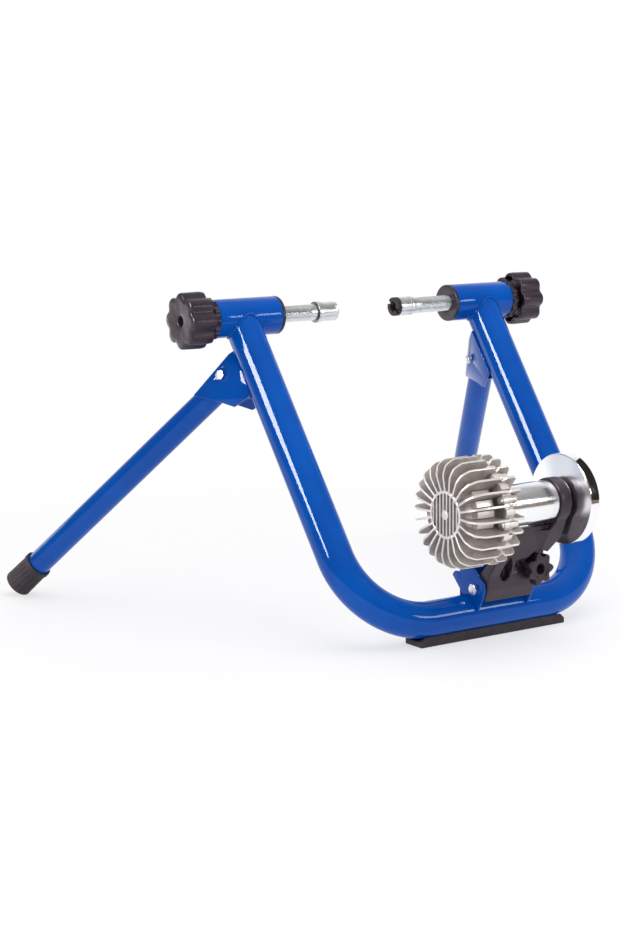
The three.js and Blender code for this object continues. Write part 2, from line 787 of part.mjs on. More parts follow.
// A slope from the arm's proud front down to the wall beside it, as a hull of its corners.
function yokeFillet() {
  const low = tensionRise + starRadius;
  const high = rollerAxis.z - rollerRadius - saddleGap - yokeWall / 2;
  const armFront = (z) => THREE.MathUtils.mapLinear(z, tensionRise + barrelRadius, rollerAxis.z,
    yokeKnee[0], rollerAxis.y - collarRadius);
  const right = yokeRight - yokeWall / 2;
  const left = yokeRight - yokeWall - yokeFilletWidth;
  const wallFront = rollerAxis.y - barrelRadius / 2 + yokeWall / 2;
  const corners = [[right, armFront(high), high], [right, armFront(low), low], [left, wallFront, high],
    [right, wallFront, high], [right, yokeKnee[0] + yokeWall / 2, low], [right, yokeKnee[0], low]];
  return closed(new ConvexGeometry(corners.map((corner) => new THREE.Vector3(...corner))));
}

// The floor and the rim of the knob's recess, behind the wall that leans away from it.
function knobSeat() {
  const rim = starRadius + starRecessGap + yokeWall / 2;
  const back = -tensionSeat + yokeWall / 2;
  const low = tensionRise - yokeWall / 2;
  const side = [[back, low], [-tensionSeat, low], yokeKnee, [yokeKnee[0], tensionRise + rim],
    [back, tensionRise + rim]];
  const disc = moved(ontoFront(rod(rim, 0, rollerReach, tubeSides)), tensionOffset, 0, tensionRise);
  return overlap(ontoX(plate(side, 0, yokeRight)), disc);
}

function mountingPlate() {
  const low = rollerAxis.z - yokeScrewCircle - collarWidth;
  const high = rollerAxis.z - yokeWall;
  const front = rollerAxis.y - mountReach;
  const back = rollerAxis.y + mountReach;
  const outline = [[front, low + collarWidth], [rollerAxis.y - yokeWall, low],
    [rollerAxis.y + collarWidth, low], [back, low + collarWidth], [back, high], [front, high]];
  const from = fitGap - housingBack;
  return ontoX(plate(outline, from, from + mountPlate));
}

function yokeScrewPlaces() {
  return [-1, 1].map((turn) => [yokeScrewCircle * Math.sin(turn * yokeScrewSpread),
    -yokeScrewCircle * Math.cos(yokeScrewSpread)]);
}

function yoke() {
  const wall = ontoX(plate(yokeWallShape(), -yokeLeft, yokeRight));
  const collarRod = ontoX(rod(collarRadius, collarFace, collarBack, fineSides));
  const collar = moved(collarRod, 0, rollerAxis.y, rollerAxis.z);
  const blank = join(wall, yokeArm(), yokeFillet(), knobSeat(), mountingPlate(), collar);
  const shaftHole = rod(shaftRadius + saddleGap, -rollerReach, collarBack + cutOverrun, tubeSides);
  const seat = rod(bearingRadius + fitGap, -rollerReach, collarFace + bearingWidth + fitGap, tubeSides);
  const sweep = rod(rollerRadius + saddleGap, -rollerReach, collarFace, tubeSides);
  const turning = [shaftHole, seat, sweep].map((tool) => moved(ontoX(tool), 0, rollerAxis.y, rollerAxis.z));
  const bore = pivotBoltRadius + fitGap + pivotSleeveWall + runningGap;
  const barrelBore = ontoX(rod(bore, -yokeLeft - cutOverrun, yokeRight + cutOverrun, smallSides));
  const recess = ontoFront(rod(starRadius + starRecessGap, tensionSeat, rollerReach, tubeSides));
  const boltHole = ontoFront(rod(tensionHoleRadius, -rollerReach, rollerReach, smallSides));
  const knobTools = [recess, boltHole].map((tool) => moved(tool, tensionOffset, 0, tensionRise));
  const screwHoles = yokeScrewPlaces().map(([y, z]) =>
    moved(ontoX(rod(yokeScrewRadius + fitGap, -housingBack, mountPlate, screwSides)),
      0, rollerAxis.y + y, rollerAxis.z + z));
  return part('yoke', cut(blank, ...turning, barrelBore, ...knobTools, ...screwHoles), 'blackPlastic');
}

// Everything on the shaft is built with Z along X, and angles run from Y towards Z.

function spokes(count, turn, make) {
  return Array.from({ length: count }, (_, k) => make(k).rotateZ(turn + (k * 2 * Math.PI) / count));
}

// A flat blade through the axis, from [radius, z] points.
function blade(outline, thickness) {
  return plate(outline, -thickness / 2, thickness / 2).rotateX(Math.PI / 2);
}

function screwTurn() {
  return finTurn + Math.PI / finCount;
}

function onScrewCircle(geometry) {
  return geometry.translate(screwCircle, 0, 0);
}

function screwHoles(from, to) {
  const make = () => onScrewCircle(rod(screwRadius + fitGap, from, to, screwSides));
  return spokes(screwCount, screwTurn(), make);
}

function screwBosses(from, to) {
  return spokes(screwCount, screwTurn(), () => onScrewCircle(rod(screwBossRadius, from, to, screwSides)));
}

function discGrooveTools() {
  const pitch = (2 * discRadius) / (discGrooves + 1);
  return Array.from({ length: discGrooves }, (_, k) => {
    const middle = (k + 1) * pitch - discRadius;
    const halfChord = Math.sqrt((discRadius - finThickness) ** 2 - middle ** 2) - finThickness;
    return slab([middle - discGrooveWidth / 2, middle + discGrooveWidth / 2], [-halfChord, halfChord],
      [-housingFace - cutOverrun, discGrooveDepth - housingFace]);
  });
}

function housingFront() {
  const bandStart = housingParting + flangeThickness + drumGroove;
  const drum = turned([[0, -housingFace], [discRadius, -housingFace], [discRadius, -drumFront],
    [drumRadius - coverWall, -drumFront], [drumRadius, -bandStart - drumBandLength],
    [drumBandRadius, -bandStart - drumBandLength], [drumBandRadius, -bandStart], [drumRadius, -bandStart],
    [drumRadius, -housingParting - flangeThickness], [flangeRadius, -housingParting - flangeThickness],
    [flangeRadius, -housingParting], [chamberRadius, -housingParting],
    [chamberRadius, chamberFrontWall - drumFront], [0, chamberFrontWall - drumFront]], fineSides);
  const shoulder = housingFinNose - housingFace;
  const root = discRadius - finThickness;
  const finOutline = [[root, coverWall - drumFront], [root, -housingFace],
    [drumRadius - coverWall, shoulder / 2 - housingFinNose], [drumBandRadius, -housingFinNose],
    [finRadius - 2 * shoulder, shoulder / 2 - housingFinNose], [finRadius, shoulder * 3 - housingFinNose],
    [finRadius, -housingParting - flangeThickness], [flangeRadius - fitGap, -housingParting - fitGap],
    [drumRadius - fitGap, -housingParting - fitGap], [drumRadius - fitGap, coverWall - drumFront]];
  const fins = spokes(finCount, finTurn, () => blade(finOutline, finThickness));
  const bosses = screwBosses(-housingParting - flangeThickness, -housingParting);
  const grooved = cut(join(drum, ...fins, ...bosses), ...discGrooveTools());
  const boss = rod(discBossRadius, -housingFace, -drumFront, smallSides);
  const chamber = rod(chamberRadius, chamberFrontWall - drumFront, cutOverrun, fineSides);
  const holes = screwHoles(-drumFront, cutOverrun);
  return part('housing_front', ontoX(cut(join(grooved, boss), chamber, ...holes)), 'castAluminium');
}

function housingRear() {
  const face = -housingParting + fitGap;
  const wallBack = face + flangeThickness + coverWall;
  const cover = turned([[0, face], [flangeRadius, face], [flangeRadius, face + flangeThickness],
    [drumRadius, face + flangeThickness], [drumRadius, wallBack], [hubRadius, wallBack],
    [hubRadius, -housingBack], [0, -housingBack]], fineSides);
  const round = finRadius - flangeRadius;
  const finOutline = [[hubRadius - finThickness, face + fitGap], [flangeRadius - fitGap, face + fitGap],
    [finRadius, face + flangeThickness / 2], [finRadius, -finBack - round / 2],
    [finRadius - round / 3, -finBack], [flangeRadius - 2 * round, -housingBack],
    [hubRadius - finThickness, -housingBack]];
  const fins = spokes(finCount, finTurn, () => blade(finOutline, finThickness));
  const bosses = screwBosses(face, wallBack);
  const lugRadius = yokeScrewHeadRadius + finThickness;
  const lugHole = yokeScrewRadius + fitGap;
  const lugs = yokeScrewPlaces().map(([y, z]) =>
    rod(lugRadius, face + flangeThickness, -housingBack, smallSides).translate(y, z, 0));
  const lugHoles = yokeScrewPlaces().map(([y, z]) =>
    rod(lugHole, -housingBack - yokeScrewDepth, cutOverrun, screwSides).translate(y, z, 0));
  const seatFloor = face + gasketDepth;
  const seatRadius = gasketRadius + fitGap;
  const gasketSeat = pipe(seatRadius, gasketBore - fitGap, face - cutOverrun, seatFloor, fineSides);
  const bearingFloor = -housingBack - bearingWidth - fitGap;
  const bearingSeat = rod(bearingRadius + fitGap, bearingFloor, cutOverrun, tubeSides);
  const sealSeat = rod(sealRadius + fitGap, -housingParting - cutOverrun, -housingBack, tubeSides);
  const holes = screwHoles(-drumFront, wallBack - screwEndWall);
  const seats = [gasketSeat, bearingSeat, sealSeat];
  const body = cut(join(cover, ...fins, ...bosses, ...lugs), ...seats, ...lugHoles, ...holes);
  return part('housing_rear', ontoX(body), 'castAluminium');
}

function housingScrews() {
  const seat = -housingParting - flangeThickness - fitGap;
  const end = fitGap - housingParting + flangeThickness + coverWall - screwEndWall - fitGap;
  const screws = spokes(screwCount, screwTurn(), () => onScrewCircle(turned([[0, seat - screwHeadHeight],
    [screwHeadRadius, seat - screwHeadHeight], [screwHeadRadius, seat], [screwRadius, seat],
    [screwRadius, end], [0, end]], screwSides)));
  return screws.map((screw, k) => part(`housing_screw_${k + 1}`, ontoX(screw), 'zincSteel'));
}

function yokeScrews() {
  const seat = fitGap - housingBack + mountPlate + fitGap;
  const tip = fitGap - housingBack - yokeScrewDepth;
  return yokeScrewPlaces().map(([y, z], k) => {
    const screw = turned([[0, tip], [yokeScrewRadius, tip], [yokeScrewRadius, seat],
      [yokeScrewHeadRadius, seat], [yokeScrewHeadRadius, seat + yokeScrewHeadHeight],
      [0, seat + yokeScrewHeadHeight]], screwSides);
    return part(`yoke_screw_${k + 1}`, ontoX(screw.translate(y, z, 0)), 'zincSteel');
  });
}

function sealsAndBearings() {
  const bore = shaftRadius + fitGap;
  const gasketFace = fitGap - housingParting;
  const gasket = pipe(gasketRadius, gasketBore, gasketFace, gasketFace + gasketDepth - fitGap, fineSides);
  const leftBearing = pipe(bearingRadius, bore, -housingBack - bearingWidth, -housingBack, tubeSides);
  const sealEnd = -housingBack - bearingWidth - fitGap - fitGap;
  const seal = pipe(sealRadius, bore, sealEnd - sealWidth, sealEnd, tubeSides);
  const rightBearing = pipe(bearingRadius, bore, collarFace, collarFace + bearingWidth, tubeSides);
  return [
    part('housing_gasket', ontoX(gasket), 'sealRubber'),
    part('left_bearing', ontoX(leftBearing), 'darkSteel'),
    part('shaft_seal', ontoX(seal), 'sealRubber'),
    part('right_bearing', ontoX(rightBearing), 'darkSteel'),
  ];
}

function impeller() {
  const front = chamberFrontWall - drumFront + coverWall;
  const hubEnd = front + impellerVaneWidth + impellerDisc + impellerVaneWidth;
  const discStart = front + impellerVaneWidth;
  const hub = rod(impellerHubRadius, front, hubEnd, tubeSides);
  const disc = rod(impellerRadius, discStart, discStart + impellerDisc, tubeSides);
  const vaneRoot = impellerHubRadius - impellerVaneThickness;
  const vaneEnd = impellerRadius - impellerVaneInset;
  const vaneOutline = [[vaneRoot, front], [vaneEnd, front], [vaneEnd, hubEnd], [vaneRoot, hubEnd]];
  const vanes = spokes(impellerVanes, 0, () => blade(vaneOutline, impellerVaneThickness));
  const bore = rod(shaftRadius + fitGap, front + impellerDisc, cutOverrun, tubeSides);
  return part('impeller', ontoX(cut(join(hub, disc, ...vanes), bore)), 'castAluminium');
}

function shaft() {
  const front = chamberFrontWall - drumFront + coverWall + impellerDisc + fitGap;
  const thread = flywheelBack;
  const end = thread + flywheelNutHeight + shaftTail;
  return part('shaft', ontoX(turned([[0, front], [shaftRadius, front], [shaftRadius, thread],
    [shaftThreadRadius, thread], [shaftThreadRadius, end], [0, end]], tubeSides)), 'zincSteel');
}

function roller() {
  const bore = shaftRadius + fitGap;
  const inner = rollerRadius - rollerWall;
  const middle = (rollerRightEnd - rollerLeftEnd) / 2;
  const webLeft = middle - rollerWeb / 2;
  const webRight = middle + rollerWeb / 2;
  const left = -rollerLeftEnd;
  return part('roller', ontoX(turned([[bore, left], [rollerHubRadius, left], [rollerHubRadius, webLeft],
    [inner, webLeft], [inner, left], [rollerRadius, left], [rollerRadius, rollerRightEnd],
    [inner, rollerRightEnd], [inner, webRight], [rollerHubRadius, webRight],
    [rollerHubRadius, rollerRightEnd], [bore, rollerRightEnd], [bore, left]], fineSides)), 'chrome');
}

function flywheel() {
  const bore = shaftRadius + fitGap;
  const rim = flywheelRadius - flywheelBevel;
  const bossFace = collarBack + fitGap;
  const dish = flywheelBack - flywheelDishDepth;
  return part('flywheel', ontoX(turned([[bore, bossFace], [flywheelBossRadius, bossFace],
    [flywheelBossRadius, flywheelFace], [rim, flywheelFace], [flywheelRadius, flywheelFace + flywheelBevel],
    [flywheelRadius, flywheelBack - flywheelBevel], [rim, flywheelBack], [flywheelDishRadius, flywheelBack],
    [flywheelDishRadius - flywheelDishDepth, dish], [flywheelBossRadius, dish],
    [flywheelBossRadius, flywheelBack], [bore, flywheelBack], [bore, bossFace]], fineSides)), 'chrome');
}

function flywheelNut() {
  const nut = hexNut(flywheelNutRadius, flywheelNutHeight, shaftThreadRadius + fitGap, tubeSides);
  return part('flywheel_nut', ontoX(nut).translate(flywheelBack + fitGap, 0, 0), 'zincSteel');
}

function brakeGroup() {
  const group = new THREE.Group();
  group.position.copy(pivotPoint);
  group.add(unitBracket(), ...pivotFasteners(), tensionBolt(), tensionKnob(), yoke());
  const shaftLine = new THREE.Group();
  shaftLine.position.set(0, rollerAxis.y, rollerAxis.z);
  shaftLine.add(housingFront(), housingRear(), ...housingScrews(), ...yokeScrews(), ...sealsAndBearings());
  shaftLine.add(impeller(), shaft(), roller(), flywheel(), flywheelNut());
  group.add(shaftLine);
  return group;
}

// Assembly

const trainer = new THREE.Group();
trainer.add(frameTube(), basePad());
for (const [side, name] of [[-1, 'left'], [1, 'right']]) {
  trainer.add(spindleGroup(side, name), legGroup(side, name));
}
trainer.add(brakeGroup());

export default trainer;
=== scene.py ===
# %% [markdown]
# A wheel-on turbo trainer
#
# The packed CAD model already has every size and joint of the trainer. This lesson dresses it:
# each solid that the eye meets gets a rounder, finer mesh in the same place, and every surface
# gets a finish that is worked out by nodes. The script reads nothing but the packed frame.
# Sizes are written in millimetres and turned into metres when a mesh is made.

import json
import math

import bmesh
import bpy
import numpy as np
from mathutils import Matrix, Vector


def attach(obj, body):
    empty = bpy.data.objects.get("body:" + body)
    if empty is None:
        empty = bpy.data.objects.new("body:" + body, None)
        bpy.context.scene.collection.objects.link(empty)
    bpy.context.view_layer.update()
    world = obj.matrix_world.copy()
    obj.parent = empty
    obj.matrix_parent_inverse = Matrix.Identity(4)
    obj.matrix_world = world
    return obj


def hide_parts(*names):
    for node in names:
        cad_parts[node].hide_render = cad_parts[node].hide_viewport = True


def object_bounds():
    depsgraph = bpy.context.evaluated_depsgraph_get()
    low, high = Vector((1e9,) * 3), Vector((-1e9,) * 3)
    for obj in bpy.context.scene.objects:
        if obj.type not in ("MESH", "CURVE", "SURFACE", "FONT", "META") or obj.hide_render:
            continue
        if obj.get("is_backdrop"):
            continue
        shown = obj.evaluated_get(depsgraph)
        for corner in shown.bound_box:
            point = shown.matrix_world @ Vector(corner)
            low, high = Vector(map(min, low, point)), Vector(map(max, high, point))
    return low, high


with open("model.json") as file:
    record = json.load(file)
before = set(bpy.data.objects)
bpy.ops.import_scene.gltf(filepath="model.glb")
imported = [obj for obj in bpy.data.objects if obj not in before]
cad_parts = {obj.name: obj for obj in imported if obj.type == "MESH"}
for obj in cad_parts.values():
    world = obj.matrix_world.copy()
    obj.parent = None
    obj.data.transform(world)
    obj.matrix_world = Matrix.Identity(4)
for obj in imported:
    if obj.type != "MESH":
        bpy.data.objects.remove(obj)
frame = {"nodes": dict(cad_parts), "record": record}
cad_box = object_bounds()

# %% [markdown]
# Sizes
#
# A maker would keep a sheet of the main sizes beside the bench. The same numbers are in the
# CAD source, so a piece made from them lands on its solid without any fitting.

# %% Main sizes in millimetres
MM = 0.001
SPINDLE_HEIGHT, SPINDLE_SETBACK = 375.0, 252.0
ARM_TOP_SPAN, ARM_FOOT_SPAN = 375.0, 362.1
TUBE_RADIUS, BEND_RADIUS = 22.225, 96.6
BOTTOM_AXIS_HEIGHT = 28.925
SLEEVE_INNER, SLEEVE_OUTER, SLEEVE_RADIUS, SLEEVE_BORE = 137.7, 227.9, 23.75, 21.0
SPINDLE_RADIUS, SPINDLE_PITCH = 10.2, 2.5
# The room between a piece and what it slides in or over.
PLAY = 0.3
LEG_RADIUS, LEG_WALL = 15.875, 1.8
PIVOT = Vector((0.0, -18.0, 61.575))
ROLLER_AXIS = Vector((0.0, -57.36, 165.575))
STAR_AXIS = Vector((36.0, -18.0, 83.975))
FIN_COUNT, FIN_TURN = 24, math.radians(1.2)
SCREW_COUNT, SCREW_TURN = 12, math.radians(1.2 + 7.5)
print("frame tube", 2 * TUBE_RADIUS, "mm across, spindles", SPINDLE_HEIGHT, "mm up")

# %% [markdown]
# Camera
#
# The photograph looks from the front left, a little above the roller's height, with a long
# lens. The place and the turn of the camera were worked out from the frame's straight lines.
# The camera comes first, so that everything after it can be judged in its view.

# %% Camera
CAMERA_AT = Vector((-1.5447, -1.9099, 0.6097))
CAMERA_AZIMUTH, CAMERA_PITCH, CAMERA_ROLL = (math.radians(a) for a in (34.046, 9.348, -0.527))


def camera_axes():
    """Right, up and forward of the camera as directions in the part's frame."""
    flat = math.cos(CAMERA_PITCH)
    forward = Vector((math.sin(CAMERA_AZIMUTH) * flat, math.cos(CAMERA_AZIMUTH) * flat,
                      -math.sin(CAMERA_PITCH)))
    right = Vector((math.cos(CAMERA_AZIMUTH), -math.sin(CAMERA_AZIMUTH), 0))
    up = right.cross(forward)
    turn_cos, turn_sin = math.cos(CAMERA_ROLL), math.sin(CAMERA_ROLL)
    return (right * turn_cos + up * turn_sin, up * turn_cos - right * turn_sin, forward)


def make_camera():
    """A camera at the photographer's place; its lens is in millimetres."""
    data = bpy.data.cameras.new("photo_camera")
    data.lens, data.sensor_width, data.sensor_fit = 80.396, 36.0, "AUTO"
    data.clip_start, data.clip_end = 0.05, 60.0
    camera = bpy.data.objects.new("photo_camera", data)
    right, up, forward = camera_axes()
    turn = Matrix((right, up, -forward)).transposed().to_4x4()
    camera.matrix_world = Matrix.Translation(CAMERA_AT) @ turn
    bpy.context.scene.collection.objects.link(camera)
    bpy.context.scene.camera = camera
    return camera


print("camera", [round(v, 3) for v in make_camera().location])

# %% [markdown]
# Node trees as Python sums
#
# Both finishes and repeated pieces are made by node trees. Their nodes could be added and
# joined one by one, but a sum of five terms then fills a page. So a small class wraps one
# socket, and a sum of sockets is written like any sum in Python and adds its Math nodes
# itself. The reflected forms of its operators make 1 - mask work as well as mask - 1.

# %% Sockets in sums
class Wire:
    """One output socket of a tree, which can be used in sums."""

    def __init__(self, tree, socket):
        self.tree, self.socket = tree, socket

    def maths(self, operation, *values):
        """A Math node of this kind over the values, any of which may be sockets."""
        return self.tree.node("ShaderNodeMath", {"operation": operation},
                              dict(enumerate(values)))

    def __add__(self, other):
        return self.maths("ADD", self, other)

    def __sub__(self, other):
        return self.maths("SUBTRACT", self, other)

    def __rsub__(self, other):
        return self.maths("SUBTRACT", other, self)

    def __mul__(self, other):
        return self.maths("MULTIPLY", self, other)

    def __truediv__(self, other):
        return self.maths("DIVIDE", self, other)

    def __rtruediv__(self, other):
        return self.maths("DIVIDE", other, self)

    def __pow__(self, other):
        return self.maths("POWER", self, other)

    def __rpow__(self, other):
        return self.maths("POWER", other, self)

    __radd__, __rmul__ = __add__, __mul__

    def clamped(self):
        """The same value, held between 0 and 1."""
        return self.tree.node("ShaderNodeClamp", {}, {0: self})

    def between(self, low, high):
        """0 below low, 1 above high and a smooth step from one to the other."""
        return self.tree.node("ShaderNodeMapRange", {"interpolation_type": "SMOOTHSTEP"},
                              {0: self, 1: low, 2: high, 3: 0.0, 4: 1.0})

    def other(self, name):
        """Another output of the same node."""
        return Wire(self.tree, self.socket.node.outputs[name])


print("sums of sockets use", [name for name in vars(Wire) if name.startswith("__r")])

# %% [markdown]
# Trees and finishes
#
# A tree adds its nodes through one function, so that a whole node is one line. A finish is a
# tree with a Principled shader in it. It always starts from Object coordinates, which stay
# with the piece when it moves, and it offers the three things that every surface here uses:
# noise, a value stored on faces, and a bump.

# %% Tree and finish helpers
class Tree:
    """A node tree that is filled from Python."""

    def __init__(self, tree):
        self.tree = tree

    def node(self, kind, settings=None, sockets=None, output=0):
        """Adds a node, sets it up, joins or fills its sockets, and gives one output."""
        made = self.tree.nodes.new(kind)
        for name, value in (settings or {}).items():
            if name == "stops":
                self.set_stops(made.color_ramp, value)
            else:
                setattr(made, name, value)
        for key, value in (sockets or {}).items():
            if isinstance(value, Wire):
                self.tree.links.new(value.socket, made.inputs[key])
            else:
                made.inputs[key].default_value = value
        return Wire(self, made.outputs[output])

    @staticmethod
    def set_stops(ramp, stops):
        """Puts (place, colour) stops on a colour ramp."""
        while len(ramp.elements) < len(stops):
            ramp.elements.new(0.5)
        for element, (place, colour) in zip(ramp.elements, stops):
            element.position = place
            element.color = (*colour, 1.0)

    def mix(self, factor, first, second):
        """A colour between two colours."""
        colours = [c if isinstance(c, Wire) else (*c, 1.0) for c in (first, second)]
        return self.node("ShaderNodeMix", {"data_type": "RGBA"},
                         {0: factor, 6: colours[0], 7: colours[1]}, output=2)


class Finish(Tree):
    """A material around one Principled shader."""

    def __init__(self, name, colour, metallic=0.0, rough=0.5, uniform=None):
        self.material = bpy.data.materials.new(name)
        self.material.use_nodes = True
        super().__init__(self.material.node_tree)
        self.shader = self.tree.nodes["Principled BSDF"]
        self.put("Base Color", (*colour, 1.0))
        self.put("Metallic", metallic)
        self.put("Roughness", rough)
        for socket, value in (uniform or {}).items():
            self.put(socket, value)
        self.place = self.node("ShaderNodeTexCoord", output="Object")

    def put(self, socket, value):
        """Joins a wire to a socket of the shader, or writes a plain value on it."""
        if isinstance(value, Wire):
            self.tree.links.new(value.socket, self.shader.inputs[socket])
        else:
            self.shader.inputs[socket].default_value = value

    def noise(self, scale, detail=2.0, roughness=0.5):
        """Noise from 0 to 1 on Object coordinates, with its scale in cells per metre."""
        return self.node("ShaderNodeTexNoise", {}, {
            "Vector": self.place, "Scale": scale, "Detail": detail, "Roughness": roughness})

    def attribute(self, name):
        """A value that is stored on the faces of a piece."""
        return self.node("ShaderNodeAttribute", {"attribute_name": name}, output="Fac")

    def bump(self, height, strength, distance):
        """A normal that leans with a height; the distance is in metres."""
        return self.node("ShaderNodeBump", {}, {
            "Height": height, "Strength": strength, "Distance": distance})


print("node helpers ready")

# %% [markdown]
# Finishes
#
# Each material of the trainer gets one finish. The frame is powder-coated: a saturated blue
# under a clear gloss, with the soft dimples that painters call orange peel. A picture of paint
# could be laid on it, but it would stretch on the bends and show a seam along the tube. Noise
# on Object coordinates has neither fault, and it sits still on its piece when that moves.

# %% Powder coat
def blue_paint():
    """A blue base under a clear coat, which gives the gloss; the base itself doesn't shine."""
    paint = Finish("glossy blue powder coat", (0.0, 0.075, 0.40), rough=0.3,
                   uniform={"Coat Weight": 1.0, "Coat Roughness": 0.03, "Coat IOR": 1.3,
                            "Specular IOR Level": 0.0})
    cloud = paint.noise(14.0, 3.0)
    tone = paint.mix(cloud.between(0.35, 0.7), (0.0, 0.066, 0.36), (0.0, 0.083, 0.42))
    paint.put("Base Color", tone)
    peel = paint.noise(420.0, 1.0)
    slow = paint.noise(95.0, 1.0)
    paint.put("Roughness", 0.26 + cloud * 0.08)
    paint.put("Normal", paint.bump(peel * 0.2 + slow * 0.8, 0.06, 0.0002))
    return paint.material


print("powder coat ready")

# %% [markdown]
# Bare metals
#
# The housing is cast, with a warm grey, sandy skin. The roller and the flywheel are chromed and
# nearly mirrors, with faint turning lines. Screws are zinc-plated, and bearings are oiled steel.
# All are made alike: a slow noise clouds the colour and the roughness, and a fine one makes the
# grain. Where a tool has worked on some faces only, a second material could be used, but then
# the piece falls in two. So those faces carry a number, and the finish reads it. The same kind
# of number marks the cast well and the plated end faces that get painted shade.

# %% Cast and plated metal
def cast_aluminium():
    """Sandy skin. Faces with bright at 1 are ground; those with bright at -1 get painted shade."""
    cast = Finish("die-cast aluminium", (0.60, 0.57, 0.52), metallic=0.5, rough=0.5)
    bright = cast.attribute("bright")
    ground, painted_shade = bright.clamped(), (0 - bright).clamped()
    cloud = cast.noise(60.0, 4.0, 0.6)
    skin = cast.mix(cloud.between(0.3, 0.75), (0.37, 0.33, 0.305), (0.54, 0.49, 0.455))
    worked = cast.mix(ground, skin, (0.86, 0.81, 0.77))
    # Where bright is -1 the colour goes nearly black: painted shade in the well of the disc.
    cast.put("Base Color", cast.mix(painted_shade, worked, (0.09, 0.08, 0.075)))
    cast.put("Metallic", 0.4 + ground * 0.15)
    cast.put("Roughness", 0.52 + cloud * 0.14 - ground * 0.22)
    grain = cast.noise(1300.0, 3.0, 0.65)
    flow = cast.noise(240.0, 2.0)
    cast.put("Normal", cast.bump(grain * (1 - ground * 0.7) + flow * 0.6, 0.5, 0.00025))
    return cast.material


def chrome():
    """Mirror metal turned on a lathe; the attribute satin blurs the faces that carry it."""
    mirror = Finish("polished chrome", (0.88, 0.88, 0.90), metallic=1.0, rough=0.05)
    centred = mirror.node("ShaderNodeMapping", {},
                          {"Vector": mirror.place, "Location": tuple(-ROLLER_AXIS * MM)})
    parts = mirror.node("ShaderNodeSeparateXYZ", {}, {"Vector": centred})
    across, upward = parts.other("Y"), parts.other("Z")
    radius = (across * across + upward * upward) ** 0.5
    turning_lines = 5200.0
    rings = radius.maths("SINE", radius * turning_lines) * 0.5 + 0.5
    cloud = mirror.noise(30.0, 3.0)
    mirror.put("Roughness", 0.035 + rings * 0.02 + cloud * 0.03
               + mirror.attribute("satin") * 0.16)
    mirror.put("Base Color", mirror.mix(cloud.between(0.3, 0.7),
                                        (0.91, 0.91, 0.93), (0.96, 0.96, 0.97)))
    mirror.put("Normal", mirror.bump(rings, 0.04, 0.00002))
    return mirror.material


def zinc_steel():
    """Dull plating; end faces carry an attribute at 1, which the finish darkens as painted shade.
    """
    zinc = Finish("zinc-plated steel", (0.60, 0.62, 0.63), metallic=1.0, rough=0.3)
    cloud = zinc.noise(150.0, 4.0, 0.6)
    fine = zinc.noise(900.0, 2.0)
    plated = zinc.mix(cloud.between(0.3, 0.7), (0.68, 0.70, 0.71), (0.80, 0.82, 0.83))
    # The marked end faces and mouth rims get a dark grey: painted shade.
    zinc.put("Base Color", zinc.mix(zinc.attribute("raw"), plated, (0.20, 0.20, 0.21)))
    zinc.put("Roughness", 0.28 + cloud * 0.08)
    zinc.put("Normal", zinc.bump(fine + cloud * 0.3, 0.06, 0.00003))
    return zinc.material


def dark_steel():
    steel = Finish("oiled bearing steel", (0.25, 0.25, 0.26), metallic=1.0, rough=0.35)
    cloud = steel.noise(200.0, 3.0)
    steel.put("Base Color", steel.mix(cloud, (0.18, 0.18, 0.19), (0.34, 0.34, 0.35)))
    steel.put("Roughness", 0.28 + cloud * 0.2)
    steel.put("Normal", steel.bump(cloud, 0.2, 0.0001))
    return steel.material


print("metal finishes ready")

# %% [markdown]
# Plastic and rubber
#
# Knobs, bushes and the yoke are moulded in a black plastic with a fine grain, and the pad, the
# caps and the cup's tip in rubber, which is duller and holds dust. In the photograph the light
# that both throw back leans towards plum, so their reflections are tinted and not only their
# base. A picture of grain could be laid on them, but noise has no seam and no scale of its own.

# %% Plastic and rubber finishes
PLUM = (1.0, 0.8, 0.96, 1.0)


def black_plastic():
    dark, light = (0.017, 0.012, 0.016), (0.028, 0.020, 0.026)
    plastic = Finish("grained black plastic", light, rough=0.45,
                     uniform={"Specular IOR Level": 0.56, "Specular Tint": PLUM})
    cloud = plastic.noise(35.0, 3.0)
    plastic.put("Base Color", plastic.mix(cloud.between(0.3, 0.7), dark, light))
    grain = plastic.noise(1500.0, 2.0, 0.6)
    plastic.put("Roughness", 0.25 + cloud * 0.1 + grain * 0.08)
    plastic.put("Normal", plastic.bump(grain + cloud * 0.5, 0.35, 0.00012))
    return plastic.material


def rubber(name, dark, light, rough):
    skin = Finish(name, dark, rough=rough, uniform={"Specular Tint": PLUM})
    cloud = skin.noise(80.0, 4.0, 0.6)
    dust = skin.noise(700.0, 3.0, 0.7)
    dusty = (cloud * 0.5 + dust * 0.5).between(0.4, 0.7)
    skin.put("Base Color", skin.mix(dusty, dark, light))
    skin.put("Roughness", rough - 0.08 + dust * 0.16)
    skin.put("Normal", skin.bump(dust + cloud, 0.4, 0.0002))
    return skin.material


FINISHES = {
    "blue_paint": blue_paint(),
    "black_rubber": rubber("matt black rubber", (0.012, 0.012, 0.013), (0.030, 0.029, 0.030),
                           0.62),
    "black_plastic": black_plastic(),
    "dark_steel": dark_steel(),
    "zinc_steel": zinc_steel(),
    "cast_aluminium": cast_aluminium(),
    "chrome": chrome(),
    "seal_rubber": rubber("nitrile rubber", (0.020, 0.015, 0.012), (0.034, 0.028, 0.024), 0.6),
}
print("finishes:", ", ".join(FINISHES))

# %% [markdown]
# Making round pieces
#
# Most pieces of the trainer are turned or drawn: knobs, sleeves, rollers, tubes and caps. On
# a lathe the tool follows a profile while the work spins. The helper below does the same: it
# takes a profile of points along and away from an axis, rounds its corners, and turns it. A
# shape function can move a point in or out on its way round, which gives lobes and threads.

# %% Axis and profile helpers
SAME_PLACE, NEARLY_STRAIGHT, SHARE_OF_EDGE = 1e-9, math.radians(87), 0.48


